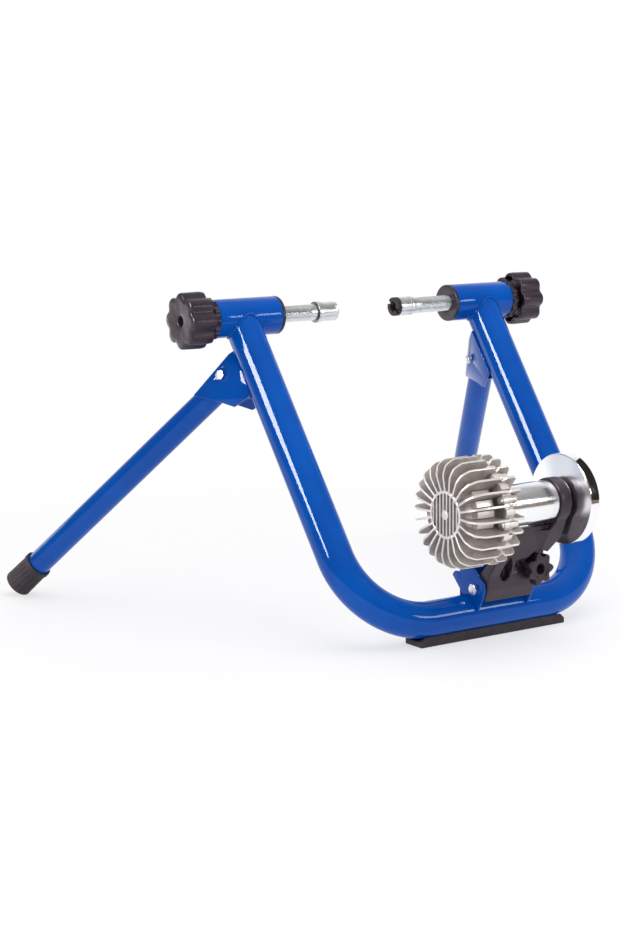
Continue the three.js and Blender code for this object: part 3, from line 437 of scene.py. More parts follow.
class Axis:
    """A turning axis: a point on it, its direction and the direction where angles start."""

    def __init__(self, at, along, across):
        self.at, self.along = Vector(at), Vector(along).normalized()
        across = Vector(across)
        self.across = (across - self.along * across.dot(self.along)).normalized()
        self.third = self.along.cross(self.across)

    def ring(self, along, radius, angles):
        """Points at these distances along and away from the axis, at these angles."""
        return (np.array(self.at) + np.outer(along, self.along)
                + np.outer(radius * np.cos(angles), self.across)
                + np.outer(radius * np.sin(angles), self.third))


def along_x(at):
    """An axis along X, with angles from Y up towards Z."""
    return Axis(at, (1, 0, 0), (0, 1, 0))


def soft(profile, radius, steps=4, loop=False):
    """Rounds a profile's corners; a point may carry its own radius as a third number."""
    points = [Vector(p[:2]) for p in profile]
    radii = [p[2] if len(p) > 2 else radius for p in profile]
    made = []
    for k, point in enumerate(points):
        before, after = points[k - 1] - point, points[(k + 1) % len(points)] - point
        at_end = not loop and k in (0, len(points) - 1)
        kept = at_end or radii[k] <= 0 or min(before.length, after.length) < SAME_PLACE
        if kept or before.angle(after) / 2 > NEARLY_STRAIGHT:
            made.append(tuple(point))
            continue
        reach = min(radii[k] / math.tan(before.angle(after) / 2),
                    before.length * SHARE_OF_EDGE, after.length * SHARE_OF_EDGE)
        start, end = point + before.normalized() * reach, point + after.normalized() * reach
        for step in range(steps + 1):
            t = step / steps
            made.append(tuple(start * (1 - t) ** 2 + point * (2 * t * (1 - t)) + end * t ** 2))
    return made


print("a soft square:", len(soft([(0, 0), (0, 10), (10, 10), (10, 0)], 1, loop=True)), "points")

# %% [markdown]
# From profile to mesh
#
# Each point of the profile becomes a ring of points round the axis, and a skin of four-sided
# faces joins one ring to the next. Blender could do this with a Screw modifier, but a lobe or
# a thread has to move single points, so the rings are worked out here with numpy. Where a
# profile starts on the axis its ring is one point many times over, and merging cleans that up.

# %% Rings and skins
MERGE_DISTANCE = 1e-6


def tidied(mesh):
    """Closes seams and poles by merging doubles, then turns every face outwards."""
    work = bmesh.new()
    work.from_mesh(mesh)
    bmesh.ops.remove_doubles(work, verts=work.verts, dist=MERGE_DISTANCE)
    bmesh.ops.dissolve_degenerate(work, edges=work.edges, dist=MERGE_DISTANCE / 10)
    bmesh.ops.recalc_face_normals(work, faces=work.faces)
    work.to_mesh(mesh)
    work.free()
    return mesh


def skinned(rings, loop=False):
    """A mesh over a row of rings of points in millimetres; the row may close on itself."""
    rings = np.asarray(rings, float) * MM
    rows, around = rings.shape[:2]
    faces = []
    for row in range(rows if loop else rows - 1):
        here, after = row * around, (row + 1) % rows * around
        for k in range(around):
            m = (k + 1) % around
            faces.append((here + k, here + m, after + m, after + k))
    if not loop:
        faces.append(tuple(reversed(range(around))))
        faces.append(tuple((rows - 1) * around + k for k in range(around)))
    mesh = bpy.data.meshes.new("skin")
    mesh.from_pydata(rings.reshape(-1, 3).tolist(), [], faces)
    return tidied(mesh)


def turned(axis, profile, sides=72, shape=None, loop=False, angles=None):
    """Turns a profile of (along, radius) points; a shape function may change both."""
    if angles is None:
        angles = np.arange(sides) * 2 * math.pi / sides
    angles = np.asarray(angles)
    rings = []
    for along, radius in profile:
        row_along, row_radius = np.full_like(angles, along), np.full_like(angles, radius)
        if shape:
            row_along, row_radius = shape(angles, row_along, row_radius)
        rings.append(axis.ring(row_along, row_radius, angles))
    return skinned(rings, loop)


print("lathe ready, points closer than", MERGE_DISTANCE, "m are merged")

# %% [markdown]
# Finishing a piece
#
# A mesh that is made is not yet a piece. On the bench a maker bevels it, cuts it, joins it to
# others and marks it, and each of these jobs is a small function here. Modifiers do the work,
# because they are Blender's own tools for it, and their result is taken over as a plain mesh
# at once. A mark is a number on a face, which a finish can read.

# %% Mesh helpers
def add_object(name, mesh):
    """An object over a mesh, linked to the scene."""
    added = bpy.data.objects.new(name, mesh)
    bpy.context.scene.collection.objects.link(added)
    return added


def evaluated_mesh(owner):
    """The mesh of an object with its modifiers worked out; the object is removed."""
    bpy.context.view_layer.update()
    graph = bpy.context.evaluated_depsgraph_get()
    mesh = bpy.data.meshes.new_from_object(owner.evaluated_get(graph))
    bpy.data.objects.remove(owner)
    return mesh


def modified(mesh, *steps):
    """The mesh after modifiers, each given as its kind and its settings."""
    owner = add_object("workpiece", mesh)
    for kind, settings in steps:
        modifier = owner.modifiers.new(kind.lower(), kind)
        for name, value in settings.items():
            setattr(modifier, name, value)
    return evaluated_mesh(owner)


def joined(*meshes):
    """Several meshes as one, with their attributes kept."""
    owners = [add_object("workpiece", mesh) for mesh in meshes]
    with bpy.context.temp_override(active_object=owners[0], selected_editable_objects=owners):
        bpy.ops.object.join()
    mesh = owners[0].data
    bpy.data.objects.remove(owners[0])
    return mesh


def marked(mesh, name, value):
    """Writes a number on every face, or what a function of its middle and normal says."""
    values = [value(face.center / MM, face.normal) if callable(value) else value
              for face in mesh.polygons]
    layer = mesh.attributes.get(name) or mesh.attributes.new(name, "FLOAT", "FACE")
    layer.data.foreach_set("value", np.asarray(values, np.float32))
    return mesh


print("mesh helpers ready")

# %% [markdown]
# One way to make every piece
#
# The function below gives a mesh its finish, smooth shading that stops at sharp edges, and the
# body it moves with. It names the CAD solids that it stands for, which are then hidden, and
# prints what was made. A solid whose shape is already right is copied instead of made again:
# its flat faces are made whole, and a bevel eases its edges.

# %% Piece helpers
FLAT_ANGLE, BEVEL_ANGLE = math.radians(1), math.radians(30)
made_triangles = []


def piece(name, mesh, body, slot, replaces=(), sharp=35.0):
    """Makes a finished piece that rides on a body."""
    mesh.name = name
    mesh.materials.clear()
    mesh.materials.append(FINISHES[slot])
    for face in mesh.polygons:
        face.material_index = 0
    mesh.shade_smooth()
    mesh.set_sharp_from_angle(angle=math.radians(sharp))
    made = add_object(name, mesh)
    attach(made, body)
    if replaces:
        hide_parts(*replaces)
    mesh.calc_loop_triangles()
    made_triangles.append(len(mesh.loop_triangles))
    size = [round(v / MM, 1) for v in made.dimensions]
    print(f"{name}: {size} mm, {made_triangles[-1]} triangles")


def from_solid(node, bevel, segments):
    """A copy of a CAD solid with its flat faces made whole and its edges eased."""
    mesh = tidied(frame["nodes"][node].data.copy())
    work = bmesh.new()
    work.from_mesh(mesh)
    bmesh.ops.dissolve_limit(work, angle_limit=FLAT_ANGLE, verts=work.verts, edges=work.edges)
    work.to_mesh(mesh)
    work.free()
    return modified(mesh, ("BEVEL", {"width": bevel * MM, "segments": segments,
                                     "limit_method": "ANGLE", "angle_limit": BEVEL_ANGLE,
                                     "use_clamp_overlap": True, "miter_outer": "MITER_ARC"}))


def eased(node, name, body, slot, bevel, segments=3, sharp=40):
    """A piece that is a copy of a CAD solid with eased edges."""
    piece(name, from_solid(node, bevel, segments), body, slot, [node], sharp)


print("piece helpers ready")

# %% [markdown]
# Geometry Nodes for paths and for rings of copies
#
# A bent tube follows a path, and a weld bead follows a seam. Both can be swept: a circle is
# carried along a line of points. Fins, screws and bosses repeat round the shaft: one is made
# and copied. Node trees do both jobs, with their sizes as named inputs, and their result is
# made real at the end, because an export drops instances.

# %% Recipe class
class Recipe(Tree):
    """A Geometry Nodes tree with named inputs."""

    def __init__(self, name, inputs):
        super().__init__(bpy.data.node_groups.new(name, "GeometryNodeTree"))
        face = self.tree.interface
        face.new_socket("Geometry", in_out="INPUT", socket_type="NodeSocketGeometry")
        self.names = {}
        for label, (kind, start) in inputs.items():
            socket = face.new_socket(label, in_out="INPUT", socket_type=kind)
            if start is not None:
                socket.default_value = start
            self.names[label] = socket.identifier
        face.new_socket("Geometry", in_out="OUTPUT", socket_type="NodeSocketGeometry")
        self.entry = self.node("NodeGroupInput")

    def given(self, label):
        """An input of the recipe, by its name."""
        return self.entry.other(label)

    def finished(self, geometry):
        """Makes the result real, gives it its material and sends it out."""
        real = self.node("GeometryNodeRealizeInstances", {}, {"Geometry": geometry})
        dressed = self.node("GeometryNodeSetMaterial", {},
                            {"Geometry": real, "Material": self.given("Finish")})
        out = self.tree.nodes.new("NodeGroupOutput")
        self.tree.links.new(dressed.socket, out.inputs["Geometry"])
        return self

    def made_from(self, mesh, **values):
        """The mesh that this recipe makes from another mesh."""
        owner = add_object("workpiece", mesh)
        modifier = owner.modifiers.new("recipe", "NODES")
        modifier.node_group = self.tree
        for label, value in values.items():
            modifier[self.names[label]] = value
        return evaluated_mesh(owner)


print("recipe class ready")

# %% [markdown]
# Three recipes
#
# The first sweeps a circle along a line of points. Its radius can ripple on the way, which a
# weld bead needs. The second sets copies of a mesh round the shaft at even turns. The third
# sets bars side by side across a round plate, each as long as the circle lets it be. Arrays
# and bevels as modifiers could do most of this, but not in one named step with its sizes.

# %% Sweep, copies and bars
def sweep_recipe():
    """A tube along a line, whose radius may ripple from one point to the next."""
    recipe = Recipe("sweep along a line", {
        "Radius": ("NodeSocketFloat", 0.01), "Sides": ("NodeSocketInt", 64),
        "Ripple": ("NodeSocketFloat", 0.0), "Pitch": ("NodeSocketFloat", 1.0),
        "Finish": ("NodeSocketMaterial", None)})
    line = recipe.node("GeometryNodeMeshToCurve", {}, {"Mesh": recipe.given("Geometry")})
    index = recipe.node("GeometryNodeInputIndex")
    wave = recipe.node("ShaderNodeMath", {"operation": "SINE"}, {0: index * recipe.given("Pitch")})
    swell = 1.0 + recipe.given("Ripple") * wave.maths("ABSOLUTE", wave)
    rippled = recipe.node("GeometryNodeSetCurveRadius", {}, {"Curve": line, "Radius": swell})
    circle = recipe.node("GeometryNodeCurvePrimitiveCircle", {},
                         {"Resolution": recipe.given("Sides"), "Radius": recipe.given("Radius")})
    skin = recipe.node("GeometryNodeCurveToMesh", {},
                       {"Curve": rippled, "Profile Curve": circle, "Fill Caps": True})
    return recipe.finished(skin)


def around_recipe():
    """Copies of a mesh at even turns round an axis along X."""
    recipe = Recipe("copies round the shaft", {
        "Count": ("NodeSocketInt", 24), "Turn": ("NodeSocketFloat", 0.0),
        "Middle": ("NodeSocketVector", None), "Finish": ("NodeSocketMaterial", None)})
    points = recipe.node("GeometryNodeMeshLine", {},
                         {"Count": recipe.given("Count"), "Offset": (0.0, 0.0, 0.0)})
    index = recipe.node("GeometryNodeInputIndex")
    angle = recipe.given("Turn") + index * (2 * math.pi) / recipe.given("Count")
    turn = recipe.node("ShaderNodeCombineXYZ", {}, {"X": angle})
    rotation = recipe.node("FunctionNodeEulerToRotation", {}, {0: turn})
    copies = recipe.node("GeometryNodeInstanceOnPoints", {},
                         {"Points": points, "Instance": recipe.given("Geometry"),
                          "Rotation": rotation})
    placed = recipe.node("GeometryNodeTransform", {},
                         {"Geometry": copies, "Translation": recipe.given("Middle")})
    return recipe.finished(placed)


def bar_recipe():
    """Upright bars across a round plate, each as tall as the circle is there."""
    recipe = Recipe("bars across a disc", {
        "Count": ("NodeSocketInt", 8), "Radius": ("NodeSocketFloat", 0.026),
        "Pitch": ("NodeSocketFloat", 0.007), "Middle": ("NodeSocketVector", None),
        "Finish": ("NodeSocketMaterial", None)})
    count, pitch = recipe.given("Count"), recipe.given("Pitch")
    index = recipe.node("GeometryNodeInputIndex")
    offset = (index - (count - 1) / 2.0) * pitch
    half = (recipe.given("Radius") ** 2.0 - offset * offset) ** 0.5
    points = recipe.node("GeometryNodeMeshLine", {}, {"Count": count, "Offset": (0.0, 0.0, 0.0)})
    spread = recipe.node("GeometryNodeSetPosition", {}, {
        "Geometry": points, "Position": recipe.node("ShaderNodeCombineXYZ", {}, {"Y": offset})})
    bars = recipe.node("GeometryNodeInstanceOnPoints", {}, {
        "Points": spread, "Instance": recipe.given("Geometry"),
        "Scale": recipe.node("ShaderNodeCombineXYZ", {}, {"X": 1.0, "Y": 1.0, "Z": half})})
    placed = recipe.node("GeometryNodeTransform", {},
                         {"Geometry": bars, "Translation": recipe.given("Middle")})
    return recipe.finished(placed)


SWEEP, AROUND, BARS = sweep_recipe(), around_recipe(), bar_recipe()
print("recipes:", SWEEP.tree.name, "/", AROUND.tree.name, "/", BARS.tree.name)

# %% [markdown]
# Frame tube
#
# One steel tube is bent twice into a U. Its two arms lean back and hold the spindle sleeves,
# and its bottom lies on the pad. It could be a curve with a bevel, but the tops have to be
# coped: cut to a saddle that fits round the sleeve. So a circle is swept along the path, and
# then the points of the first and the last ring slide along the arm until they meet the sleeve.

# %% Frame tube
BEND_STEPS, TUBE_SIDES = 40, 64


def arm_line(side):
    """Top and foot of an arm's middle line, and the direction down along it."""
    top = Vector((side * ARM_TOP_SPAN / 2, SPINDLE_SETBACK, SPINDLE_HEIGHT))
    foot = Vector((side * ARM_FOOT_SPAN / 2, 0.0, BOTTOM_AXIS_HEIGHT))
    return top, foot, (foot - top).normalized()


def bend_points(side):
    """The middle line of one bend, from the arm to the bottom of the U."""
    _, foot, down = arm_line(side)
    upward, inward = -down, Vector((-side, 0, 0))
    corner = upward.angle(inward)
    middle = (upward + inward).normalized()
    centre = foot + middle * (BEND_RADIUS / math.sin(corner / 2))
    reach = BEND_RADIUS / math.tan(corner / 2)
    start, end = foot + upward * reach - centre, foot + inward * reach - centre
    axis, sweep = start.cross(end).normalized(), start.angle(end)
    return [centre + Matrix.Rotation(sweep * k / BEND_STEPS, 3, axis) @ start
            for k in range(BEND_STEPS + 1)]


def line_mesh(points, closed=False):
    """A mesh of edges only, through points in millimetres."""
    mesh = bpy.data.meshes.new("line")
    count = len(points)
    edges = [(k, (k + 1) % count) for k in range(count if closed else count - 1)]
    mesh.from_pydata([tuple(Vector(p) * MM) for p in points], edges, [])
    return mesh


def onto_sleeve(point, direction, radius):
    """Slides a point along a direction until it is this far from the spindle's axis."""
    y, z = point.y - SPINDLE_SETBACK * MM, point.z - SPINDLE_HEIGHT * MM
    square = direction.y ** 2 + direction.z ** 2
    half = (y * direction.y + z * direction.z) / square
    rest = (y * y + z * z - (radius * MM) ** 2) / square
    return point + direction * (-half - math.sqrt(max(half * half - rest, 0.0)))


def frame_tube():
    cope = SLEEVE_RADIUS - 0.6
    left = [arm_line(-1)[0], *bend_points(-1)]
    right = [*reversed(bend_points(1)), arm_line(1)[0]]
    mesh = SWEEP.made_from(line_mesh(left + right), Radius=TUBE_RADIUS * MM, Sides=TUBE_SIDES,
                           Finish=FINISHES["blue_paint"])
    for side in (-1, 1):
        top, _, down = arm_line(side)
        for vertex in mesh.vertices:
            if (vertex.co - top * MM).length < (TUBE_RADIUS + 1) * MM:
                start = vertex.co + down * (3 * TUBE_RADIUS * MM)
                vertex.co = onto_sleeve(start, -down, cope)
    piece("bent_frame_tube", tidied(mesh), "frame", "blue_paint", ["frame_tube"], sharp=60)


frame_tube()

# %% [markdown]
# Sleeves, bushes and weld beads
#
# Each sleeve is a short, wide tube welded across the top of an arm. Its inner end is closed
# by a plastic bush with a flange, and the spindle slides through the bush. The weld is a row
# of small overlapping drops, so it is a thin bead swept along the seam whose radius swells
# and shrinks. The seam is where the arm's surface meets the sleeve's, found as for the cope.

# %% Sleeves, bushes and beads
SIDES = (("left", -1), ("right", 1))


def spindle_axis(side):
    """Distances along it are measured outwards from the wheel's middle plane."""
    return Axis((0, SPINDLE_SETBACK, SPINDLE_HEIGHT), (side, 0, 0), (0, 1, 0))


def sleeve(name, side):
    profile = soft([(SLEEVE_INNER, SLEEVE_BORE), (SLEEVE_INNER, SLEEVE_RADIUS),
                    (SLEEVE_OUTER, SLEEVE_RADIUS), (SLEEVE_OUTER, SLEEVE_BORE)], 0.7, loop=True)
    mesh = turned(spindle_axis(side), profile, 96, loop=True)
    piece(f"{name}_spindle_sleeve", mesh, "frame", "blue_paint", [f"{name}_sleeve"])


def bush(name, side):
    face, seat, end = SLEEVE_INNER - 4.0, SLEEVE_INNER - PLAY, SLEEVE_INNER + 18.0
    bore, plug = SPINDLE_RADIUS + PLAY, SLEEVE_BORE - PLAY
    profile = soft([(face, bore, 0.8), (face, SLEEVE_RADIUS, 1.2), (seat, SLEEVE_RADIUS, 0.3),
                    (seat, plug, 0), (end, plug, 0.5), (end, bore, 0.5)], 0.5, loop=True)
    mesh = turned(spindle_axis(side), profile, 96, loop=True)
    piece(f"{name}_flanged_bush", mesh, "frame", "black_plastic", [f"{name}_bush"])


def weld_bead(name, side):
    """A rippled bead along the seam between an arm and its sleeve, half sunk in both."""
    steps, bead_radius = 220, 1.5
    top, _, down = arm_line(side)
    across = down.cross(Vector((1, 0, 0))).normalized()
    third = down.cross(across)
    seam = []
    for k in range(steps):
        angle = 2 * math.pi * k / steps
        out = across * math.cos(angle) + third * math.sin(angle)
        start = (top + out * (TUBE_RADIUS + 0.5) + down * (3 * TUBE_RADIUS)) * MM
        seam.append(onto_sleeve(start, -down, SLEEVE_RADIUS + 0.5) / MM)
    mesh = SWEEP.made_from(line_mesh(seam, closed=True), Radius=bead_radius * MM, Sides=12,
                           Ripple=0.5, Pitch=math.pi / 4, Finish=FINISHES["blue_paint"])
    piece(f"{name}_weld_bead", tidied(mesh), "frame", "blue_paint", sharp=50)


for label, hand in SIDES:
    sleeve(label, hand)
    bush(label, hand)
    weld_bead(label, hand)

# %% [markdown]
# Clamp spindles, knobs and lock rings
#
# A threaded spindle runs through each sleeve. Its outer end carries a moulded knob with eight
# broad lobes, and a thin ring with shallow lobes is turned against the sleeve to lock it. All
# of them are turned. The lobes come from a wave on the way round, and the thread is a wave
# whose start moves along with the angle, which is what a helix is.

# %% Spindles
SPINDLE_START, SPINDLE_END, SHANK_RADIUS = 66.0, 254.8, 5.0
CUP_MOUTH, CUP_BACK = 46.5, 76.0


def threaded(root, crest, pitch, start, end):
    """A shape function for a V thread between two distances along an axis."""
    def shape(angles, along, radius):
        phase = along / pitch - angles / (2 * math.pi)
        wave = np.abs((phase % 1.0) * 2 - 1)
        inside = np.clip(np.minimum(along - start, end - along) / pitch, 0, 1)
        cut = (crest - root) * np.clip(wave * 1.5 - 0.25, 0, 1) * inside
        return along, np.where(radius > root, radius - cut, radius)
    return shape


def spindle(name, side):
    """A threaded rod; its profile has six points for each turn of the thread."""
    step, flat = SPINDLE_PITCH / 6, 9
    body_start = CUP_BACK + PLAY
    profile = [(SPINDLE_START, 0), (SPINDLE_START, SHANK_RADIUS), (body_start, SHANK_RADIUS),
               (body_start, SPINDLE_RADIUS - 0.8), (body_start + 0.8, SPINDLE_RADIUS)]
    steps = int((SPINDLE_END - 1 - body_start - 1) / step)
    profile += [(body_start + 1 + k * step, SPINDLE_RADIUS) for k in range(steps)]
    profile += [(SPINDLE_END, SPINDLE_RADIUS - 1), (SPINDLE_END, 0)]
    shape = threaded(SPINDLE_RADIUS - 0.75, SPINDLE_RADIUS, SPINDLE_PITCH, body_start + flat,
                     SPINDLE_END - 1)
    mesh = turned(spindle_axis(side), profile, 36, shape)
    piece(f"{name}_threaded_spindle", mesh, f"{name}_clamp_screw", "zinc_steel",
          [f"{name}_spindle"], sharp=30)


print("spindles from", SPINDLE_START, "to", SPINDLE_END, "mm off the middle")

# %% [markdown]
# Lobes for grip
#
# A hand turns the knob by its broad lobes, and the ring by its many shallow ones. On the real
# pieces the mould gives them. Here a wave on the way round pulls the outer points in, and the
# points nearer to the axis follow less and less, so that the hub stays round. A boolean with
# eight cylinders would leave sharp edges that have to be rounded again.

# %% Knobs and lock rings
KNOB_FACE, KNOB_DEPTH, KNOB_RADIUS = 239.8, 33.0, 34.8
RING_FACE, RING_DEPTH, RING_RADIUS = 228.2, 8.6, 26.4


def lobed(radius, depth, lobes, power, inner):
    """A shape function: every point farther out than inner follows the lobes."""
    def shape(angles, along, reach):
        wave = ((1 - np.cos(lobes * angles)) / 2) ** power
        share = np.clip((reach - inner) / (radius - inner), 0, 1)
        return along, reach - depth * wave * share
    return shape


def clamp_knob(name, side):
    """A hollow knob with a hub inside and a dimple in the middle of its face."""
    outer, inner = KNOB_FACE + KNOB_DEPTH, KNOB_FACE
    hub, bore, wall = 15.0, SPINDLE_RADIUS + PLAY, 4.0
    profile = soft([(outer - 11.5, 0), (outer - 11.5, 5.0, 1.0), (outer - 1.2, 6.6, 1.6),
                    (outer - 0.5, 15.0, 6.0), (outer, KNOB_RADIUS - 8.0, 3.0),
                    (outer - 0.6, KNOB_RADIUS - 0.4, 3.4), (inner + 6.0, KNOB_RADIUS, 1.0),
                    (inner + 0.4, KNOB_RADIUS - 0.8, 0.8), (inner, KNOB_RADIUS - wall, 0.6),
                    (inner + 12.0, KNOB_RADIUS - wall - 1.5, 1.0), (inner + 12.5, hub, 1.5),
                    (inner + 1.0, hub, 0.8), (inner + 1.0, bore, 0.5), (outer - 17.7, bore, 0.2),
                    (outer - 17.7, 0)], 1.0, steps=5)
    mesh = turned(spindle_axis(side), profile, 192,
                  lobed(KNOB_RADIUS, depth=5.0, lobes=8, power=1.5, inner=9.0))
    piece(f"{name}_clamp_knob", mesh, f"{name}_clamp_screw", "black_plastic", [f"{name}_knob"],
          sharp=50)


def lock_ring(name, side):
    start, end = RING_FACE, RING_FACE + RING_DEPTH
    bore = SPINDLE_RADIUS + PLAY
    profile = soft([(start, bore, 0.4), (start, RING_RADIUS - 1.0, 0.5),
                    (start + 0.8, RING_RADIUS, 0.5), (end - 1.0, RING_RADIUS, 0.9),
                    (end, RING_RADIUS - 2.0, 0.8), (end, bore + 5.0, 0.6),
                    (end - 1.6, bore + 4.0, 0.6), (end - 1.6, bore, 0.4)], 0.5, loop=True)
    mesh = turned(spindle_axis(side), profile, 240,
                  lobed(RING_RADIUS, depth=2.4, lobes=12, power=0.8, inner=18.0), loop=True)
    piece(f"{name}_lobed_lock_ring", mesh, f"{name}_locking_ring", "black_plastic",
          [f"{name}_lock_ring"], sharp=40)


for label, hand in SIDES:
    spindle(label, hand)
    clamp_knob(label, hand)
    lock_ring(label, hand)

# %% [markdown]
# Axle cups
#
# A cup on the inner end of each spindle takes the end of the bicycle's axle. The left one is
# plated steel with a slot across its mouth for a quick-release lever and a collar at its
# back. The right one is plain and carries a black rubber tip with the same slot. A slot
# could be cut with a boolean, but here the mouth's points simply step back where the slot is,
# at angles chosen so that its walls stand straight.

# %% Axle cups
CUP_RADIUS, CUP_COLLAR, CUP_BORE, CUP_SOCKET = 12.0, 13.4, 8.0, 16.0
CUP_STEP = CUP_BACK - 7.6
PLAIN_RIM, TIP_RIM = CUP_MOUTH + 6.3, CUP_MOUTH + 6.0
SLOT_WIDTH, SLOT_DEPTH, SLOT_RISE = 6.0, 4.0, math.radians(28)
SLOT_EDGE = math.asin(SLOT_WIDTH / 2 / CUP_RADIUS)


def slot_angles():
    """Angles round a cup that have a double step at each wall of the slot."""
    wall, slot_points, solid_points = 0.004, 8, 44
    slot = np.linspace(-SLOT_EDGE + wall, SLOT_EDGE - wall, slot_points)
    solid = np.linspace(SLOT_EDGE + wall, math.pi - SLOT_EDGE - wall, solid_points)
    half_turn = np.concatenate([slot, solid])
    return np.concatenate([half_turn, half_turn + math.pi])


def slotted(angles, along, radius):
    """A shape function that sets the mouth back at the slot, on both sides of the cup."""
    inside = np.abs((angles + math.pi / 2) % math.pi - math.pi / 2) < SLOT_EDGE
    at_mouth = along < CUP_MOUTH + 1.4
    return np.where(inside & at_mouth, along + SLOT_DEPTH, along), radius


def cup_axis(side):
    """As the spindle's, but angles start at the slot, which is turned towards the front."""
    towards = Vector((0, -math.cos(SLOT_RISE), -side * math.sin(SLOT_RISE)))
    return Axis((0, SPINDLE_SETBACK, SPINDLE_HEIGHT), (side, 0, 0), towards)


def end_of(mouth):
    """A test for a cup's end faces and the rounded rim of its mouth, which get painted shade."""
    return lambda middle, normal: abs(normal.x) > 0.6 or abs(middle.x) < mouth + 0.9


def left_cup():
    bore, socket = SHANK_RADIUS + PLAY, CUP_MOUTH + CUP_SOCKET
    profile = soft([(CUP_MOUTH, CUP_BORE, 0.5), (CUP_MOUTH, CUP_RADIUS, 0.6),
                    (CUP_STEP, CUP_RADIUS, 0.3), (CUP_STEP, CUP_COLLAR, 0.9),
                    (CUP_BACK, CUP_COLLAR, 0.9), (CUP_BACK, bore, 0.3),
                    (socket, bore, 0.3), (socket, CUP_BORE, 0.5)], 0.5, loop=True)
    mesh = turned(cup_axis(-1), profile, shape=slotted, loop=True, angles=slot_angles())
    # Its end faces and mouth rim are marked for painted shade.
    piece("left_axle_cup_slotted", marked(mesh, "raw", end_of(CUP_MOUTH)), "left_axle_cup",
          "zinc_steel", ["left_cup"], sharp=30)


def right_cup():
    bore, socket, groove = SHANK_RADIUS + PLAY, CUP_MOUTH + CUP_SOCKET, 1.2
    profile = soft([(PLAIN_RIM, CUP_BORE, 0.3), (PLAIN_RIM, CUP_RADIUS, 0.5),
                    (CUP_STEP, CUP_RADIUS, 0.5), (CUP_STEP, CUP_RADIUS - 0.5, 0.4),
                    (CUP_STEP + groove, CUP_RADIUS - 0.5, 0.4),
                    (CUP_STEP + groove, CUP_RADIUS - 0.1, 0.4),
                    (CUP_BACK, CUP_RADIUS - 0.1, 1.0), (CUP_BACK, bore, 0.3),
                    (socket, bore, 0.3), (socket, CUP_BORE, 0.3)], 0.5, loop=True)
    mesh = turned(cup_axis(1), profile, loop=True)
    # Its end faces and mouth rim are marked for painted shade.
    piece("right_axle_cup_plain", marked(mesh, "raw", end_of(PLAIN_RIM)), "right_axle_cup",
          "zinc_steel", ["right_cup"], sharp=30)


def right_tip():
    """A rubber sleeve that plugs into the right cup's bore and covers its rim."""
    plug, bore, end = 7.7, 6.3, CUP_MOUTH + 15.7
    profile = soft([(CUP_MOUTH, bore, 0.4), (CUP_MOUTH, CUP_RADIUS, 0.8),
                    (TIP_RIM, CUP_RADIUS, 0.3), (TIP_RIM, plug, 0.2), (end, plug, 0.3),
                    (end, bore, 0.3)], 0.4, loop=True)
    mesh = turned(cup_axis(1), profile, shape=slotted, loop=True, angles=slot_angles())
    piece("right_cup_black_tip", mesh, "right_axle_cup", "black_rubber", ["right_cup_tip"],
          sharp=40)


left_cup()
right_cup()
right_tip()

# %% [markdown]
# Folding legs
#
# A leg is a straight tube on a bolt between the plates of its bracket. The bracket is folded
# sheet, so its edges are only eased. The rubber cap on the foot has grooves along it for grip,
# and where it meets the floor it is pressed flat. The grooves could be cut one by one, but a
# wave on the way round gives all of them at once, and points below the floor are lifted to it.

# %% Legs, brackets and caps
LEG_STATION, LEG_STANDOFF, LEG_SHIFT = 57.9, 45.9, 5.2
LEG_SPLAY, LEG_OPEN, LEG_HEEL = math.radians(22.85), math.radians(80.9), 11.5
CAP_RADIUS, CAP_LENGTH, CAP_FLAT = 19.0, 45.0, 0.6
GROOVE_COUNT, GROOVE_DEPTH = 18, 0.9


def leg_axis(side):
    """The leg's axis from its bolt to its foot, with angles starting along the bolt."""
    top, _, down = arm_line(side)
    outward = Vector((side, 0, 0))
    outward = (outward - down * outward.dot(down)).normalized()
    backward = down.cross(outward) * -side
    away = backward * math.cos(LEG_SPLAY) + outward * math.sin(LEG_SPLAY)
    bolt = down.cross(away)
    pivot = top + down * LEG_STATION + away * LEG_STANDOFF - bolt * side * LEG_SHIFT
    return Axis(pivot, down * math.cos(LEG_OPEN) + away * math.sin(LEG_OPEN), bolt)


def leg_length(side):
    """From the bolt to the cap's end, so far that the floor presses its corner flat."""
    axis = leg_axis(side)
    drop = -axis.along.z
    return (axis.at.z + CAP_FLAT - CAP_RADIUS * math.sqrt(1 - drop * drop)) / drop


def leg_tube(name, side):
    end, bore = leg_length(side) - 7.3, LEG_RADIUS - LEG_WALL
    profile = soft([(-LEG_HEEL, bore), (-LEG_HEEL, LEG_RADIUS), (end, LEG_RADIUS), (end, bore)],
                   0.5, loop=True)
    mesh = turned(leg_axis(side), profile, loop=True)
    piece(f"{name}_leg_tube", mesh, f"{name}_folding_leg", "blue_paint", [f"{name}_leg"])


def foot_cap(name, side):
    """A cap with eighteen grooves along its wall, pressed flat where it meets the floor."""
    end = leg_length(side)
    mouth, bore, waist = end - CAP_LENGTH, LEG_RADIUS + PLAY, CAP_RADIUS - GROOVE_DEPTH
    profile = soft([(end, 0), (end, CAP_RADIUS - 0.2, 2.2), (end - 4, CAP_RADIUS - 0.3, 0),
                    (end - 6, CAP_RADIUS - 0.4, 0), (mouth + 10, waist, 0),
                    (mouth + 8.5, waist, 0), (mouth + 7, waist, 0.6),
                    (mouth + 6, CAP_RADIUS, 0.6), (mouth, CAP_RADIUS, 1.0), (mouth, bore, 0.4),
                    (end - 7, bore, 0.4), (end - 7, 0)], 0.8, steps=5)

    def grooves(angles, along, radius):
        wave = np.clip(np.cos(GROOVE_COUNT * angles) * 3 - 1.4, 0, 1)
        on_wall = (along > mouth + 9) & (along < end - 5) & (radius > CAP_RADIUS - 2)
        return along, np.where(on_wall, radius - GROOVE_DEPTH * wave, radius)

    mesh = turned(leg_axis(side), profile, 216, grooves)
    for vertex in mesh.vertices:
        vertex.co.z = max(vertex.co.z, 0.0)
    piece(f"{name}_rubber_foot_cap", mesh, f"{name}_folding_leg", "black_rubber",
          [f"{name}_foot_cap"], sharp=40)


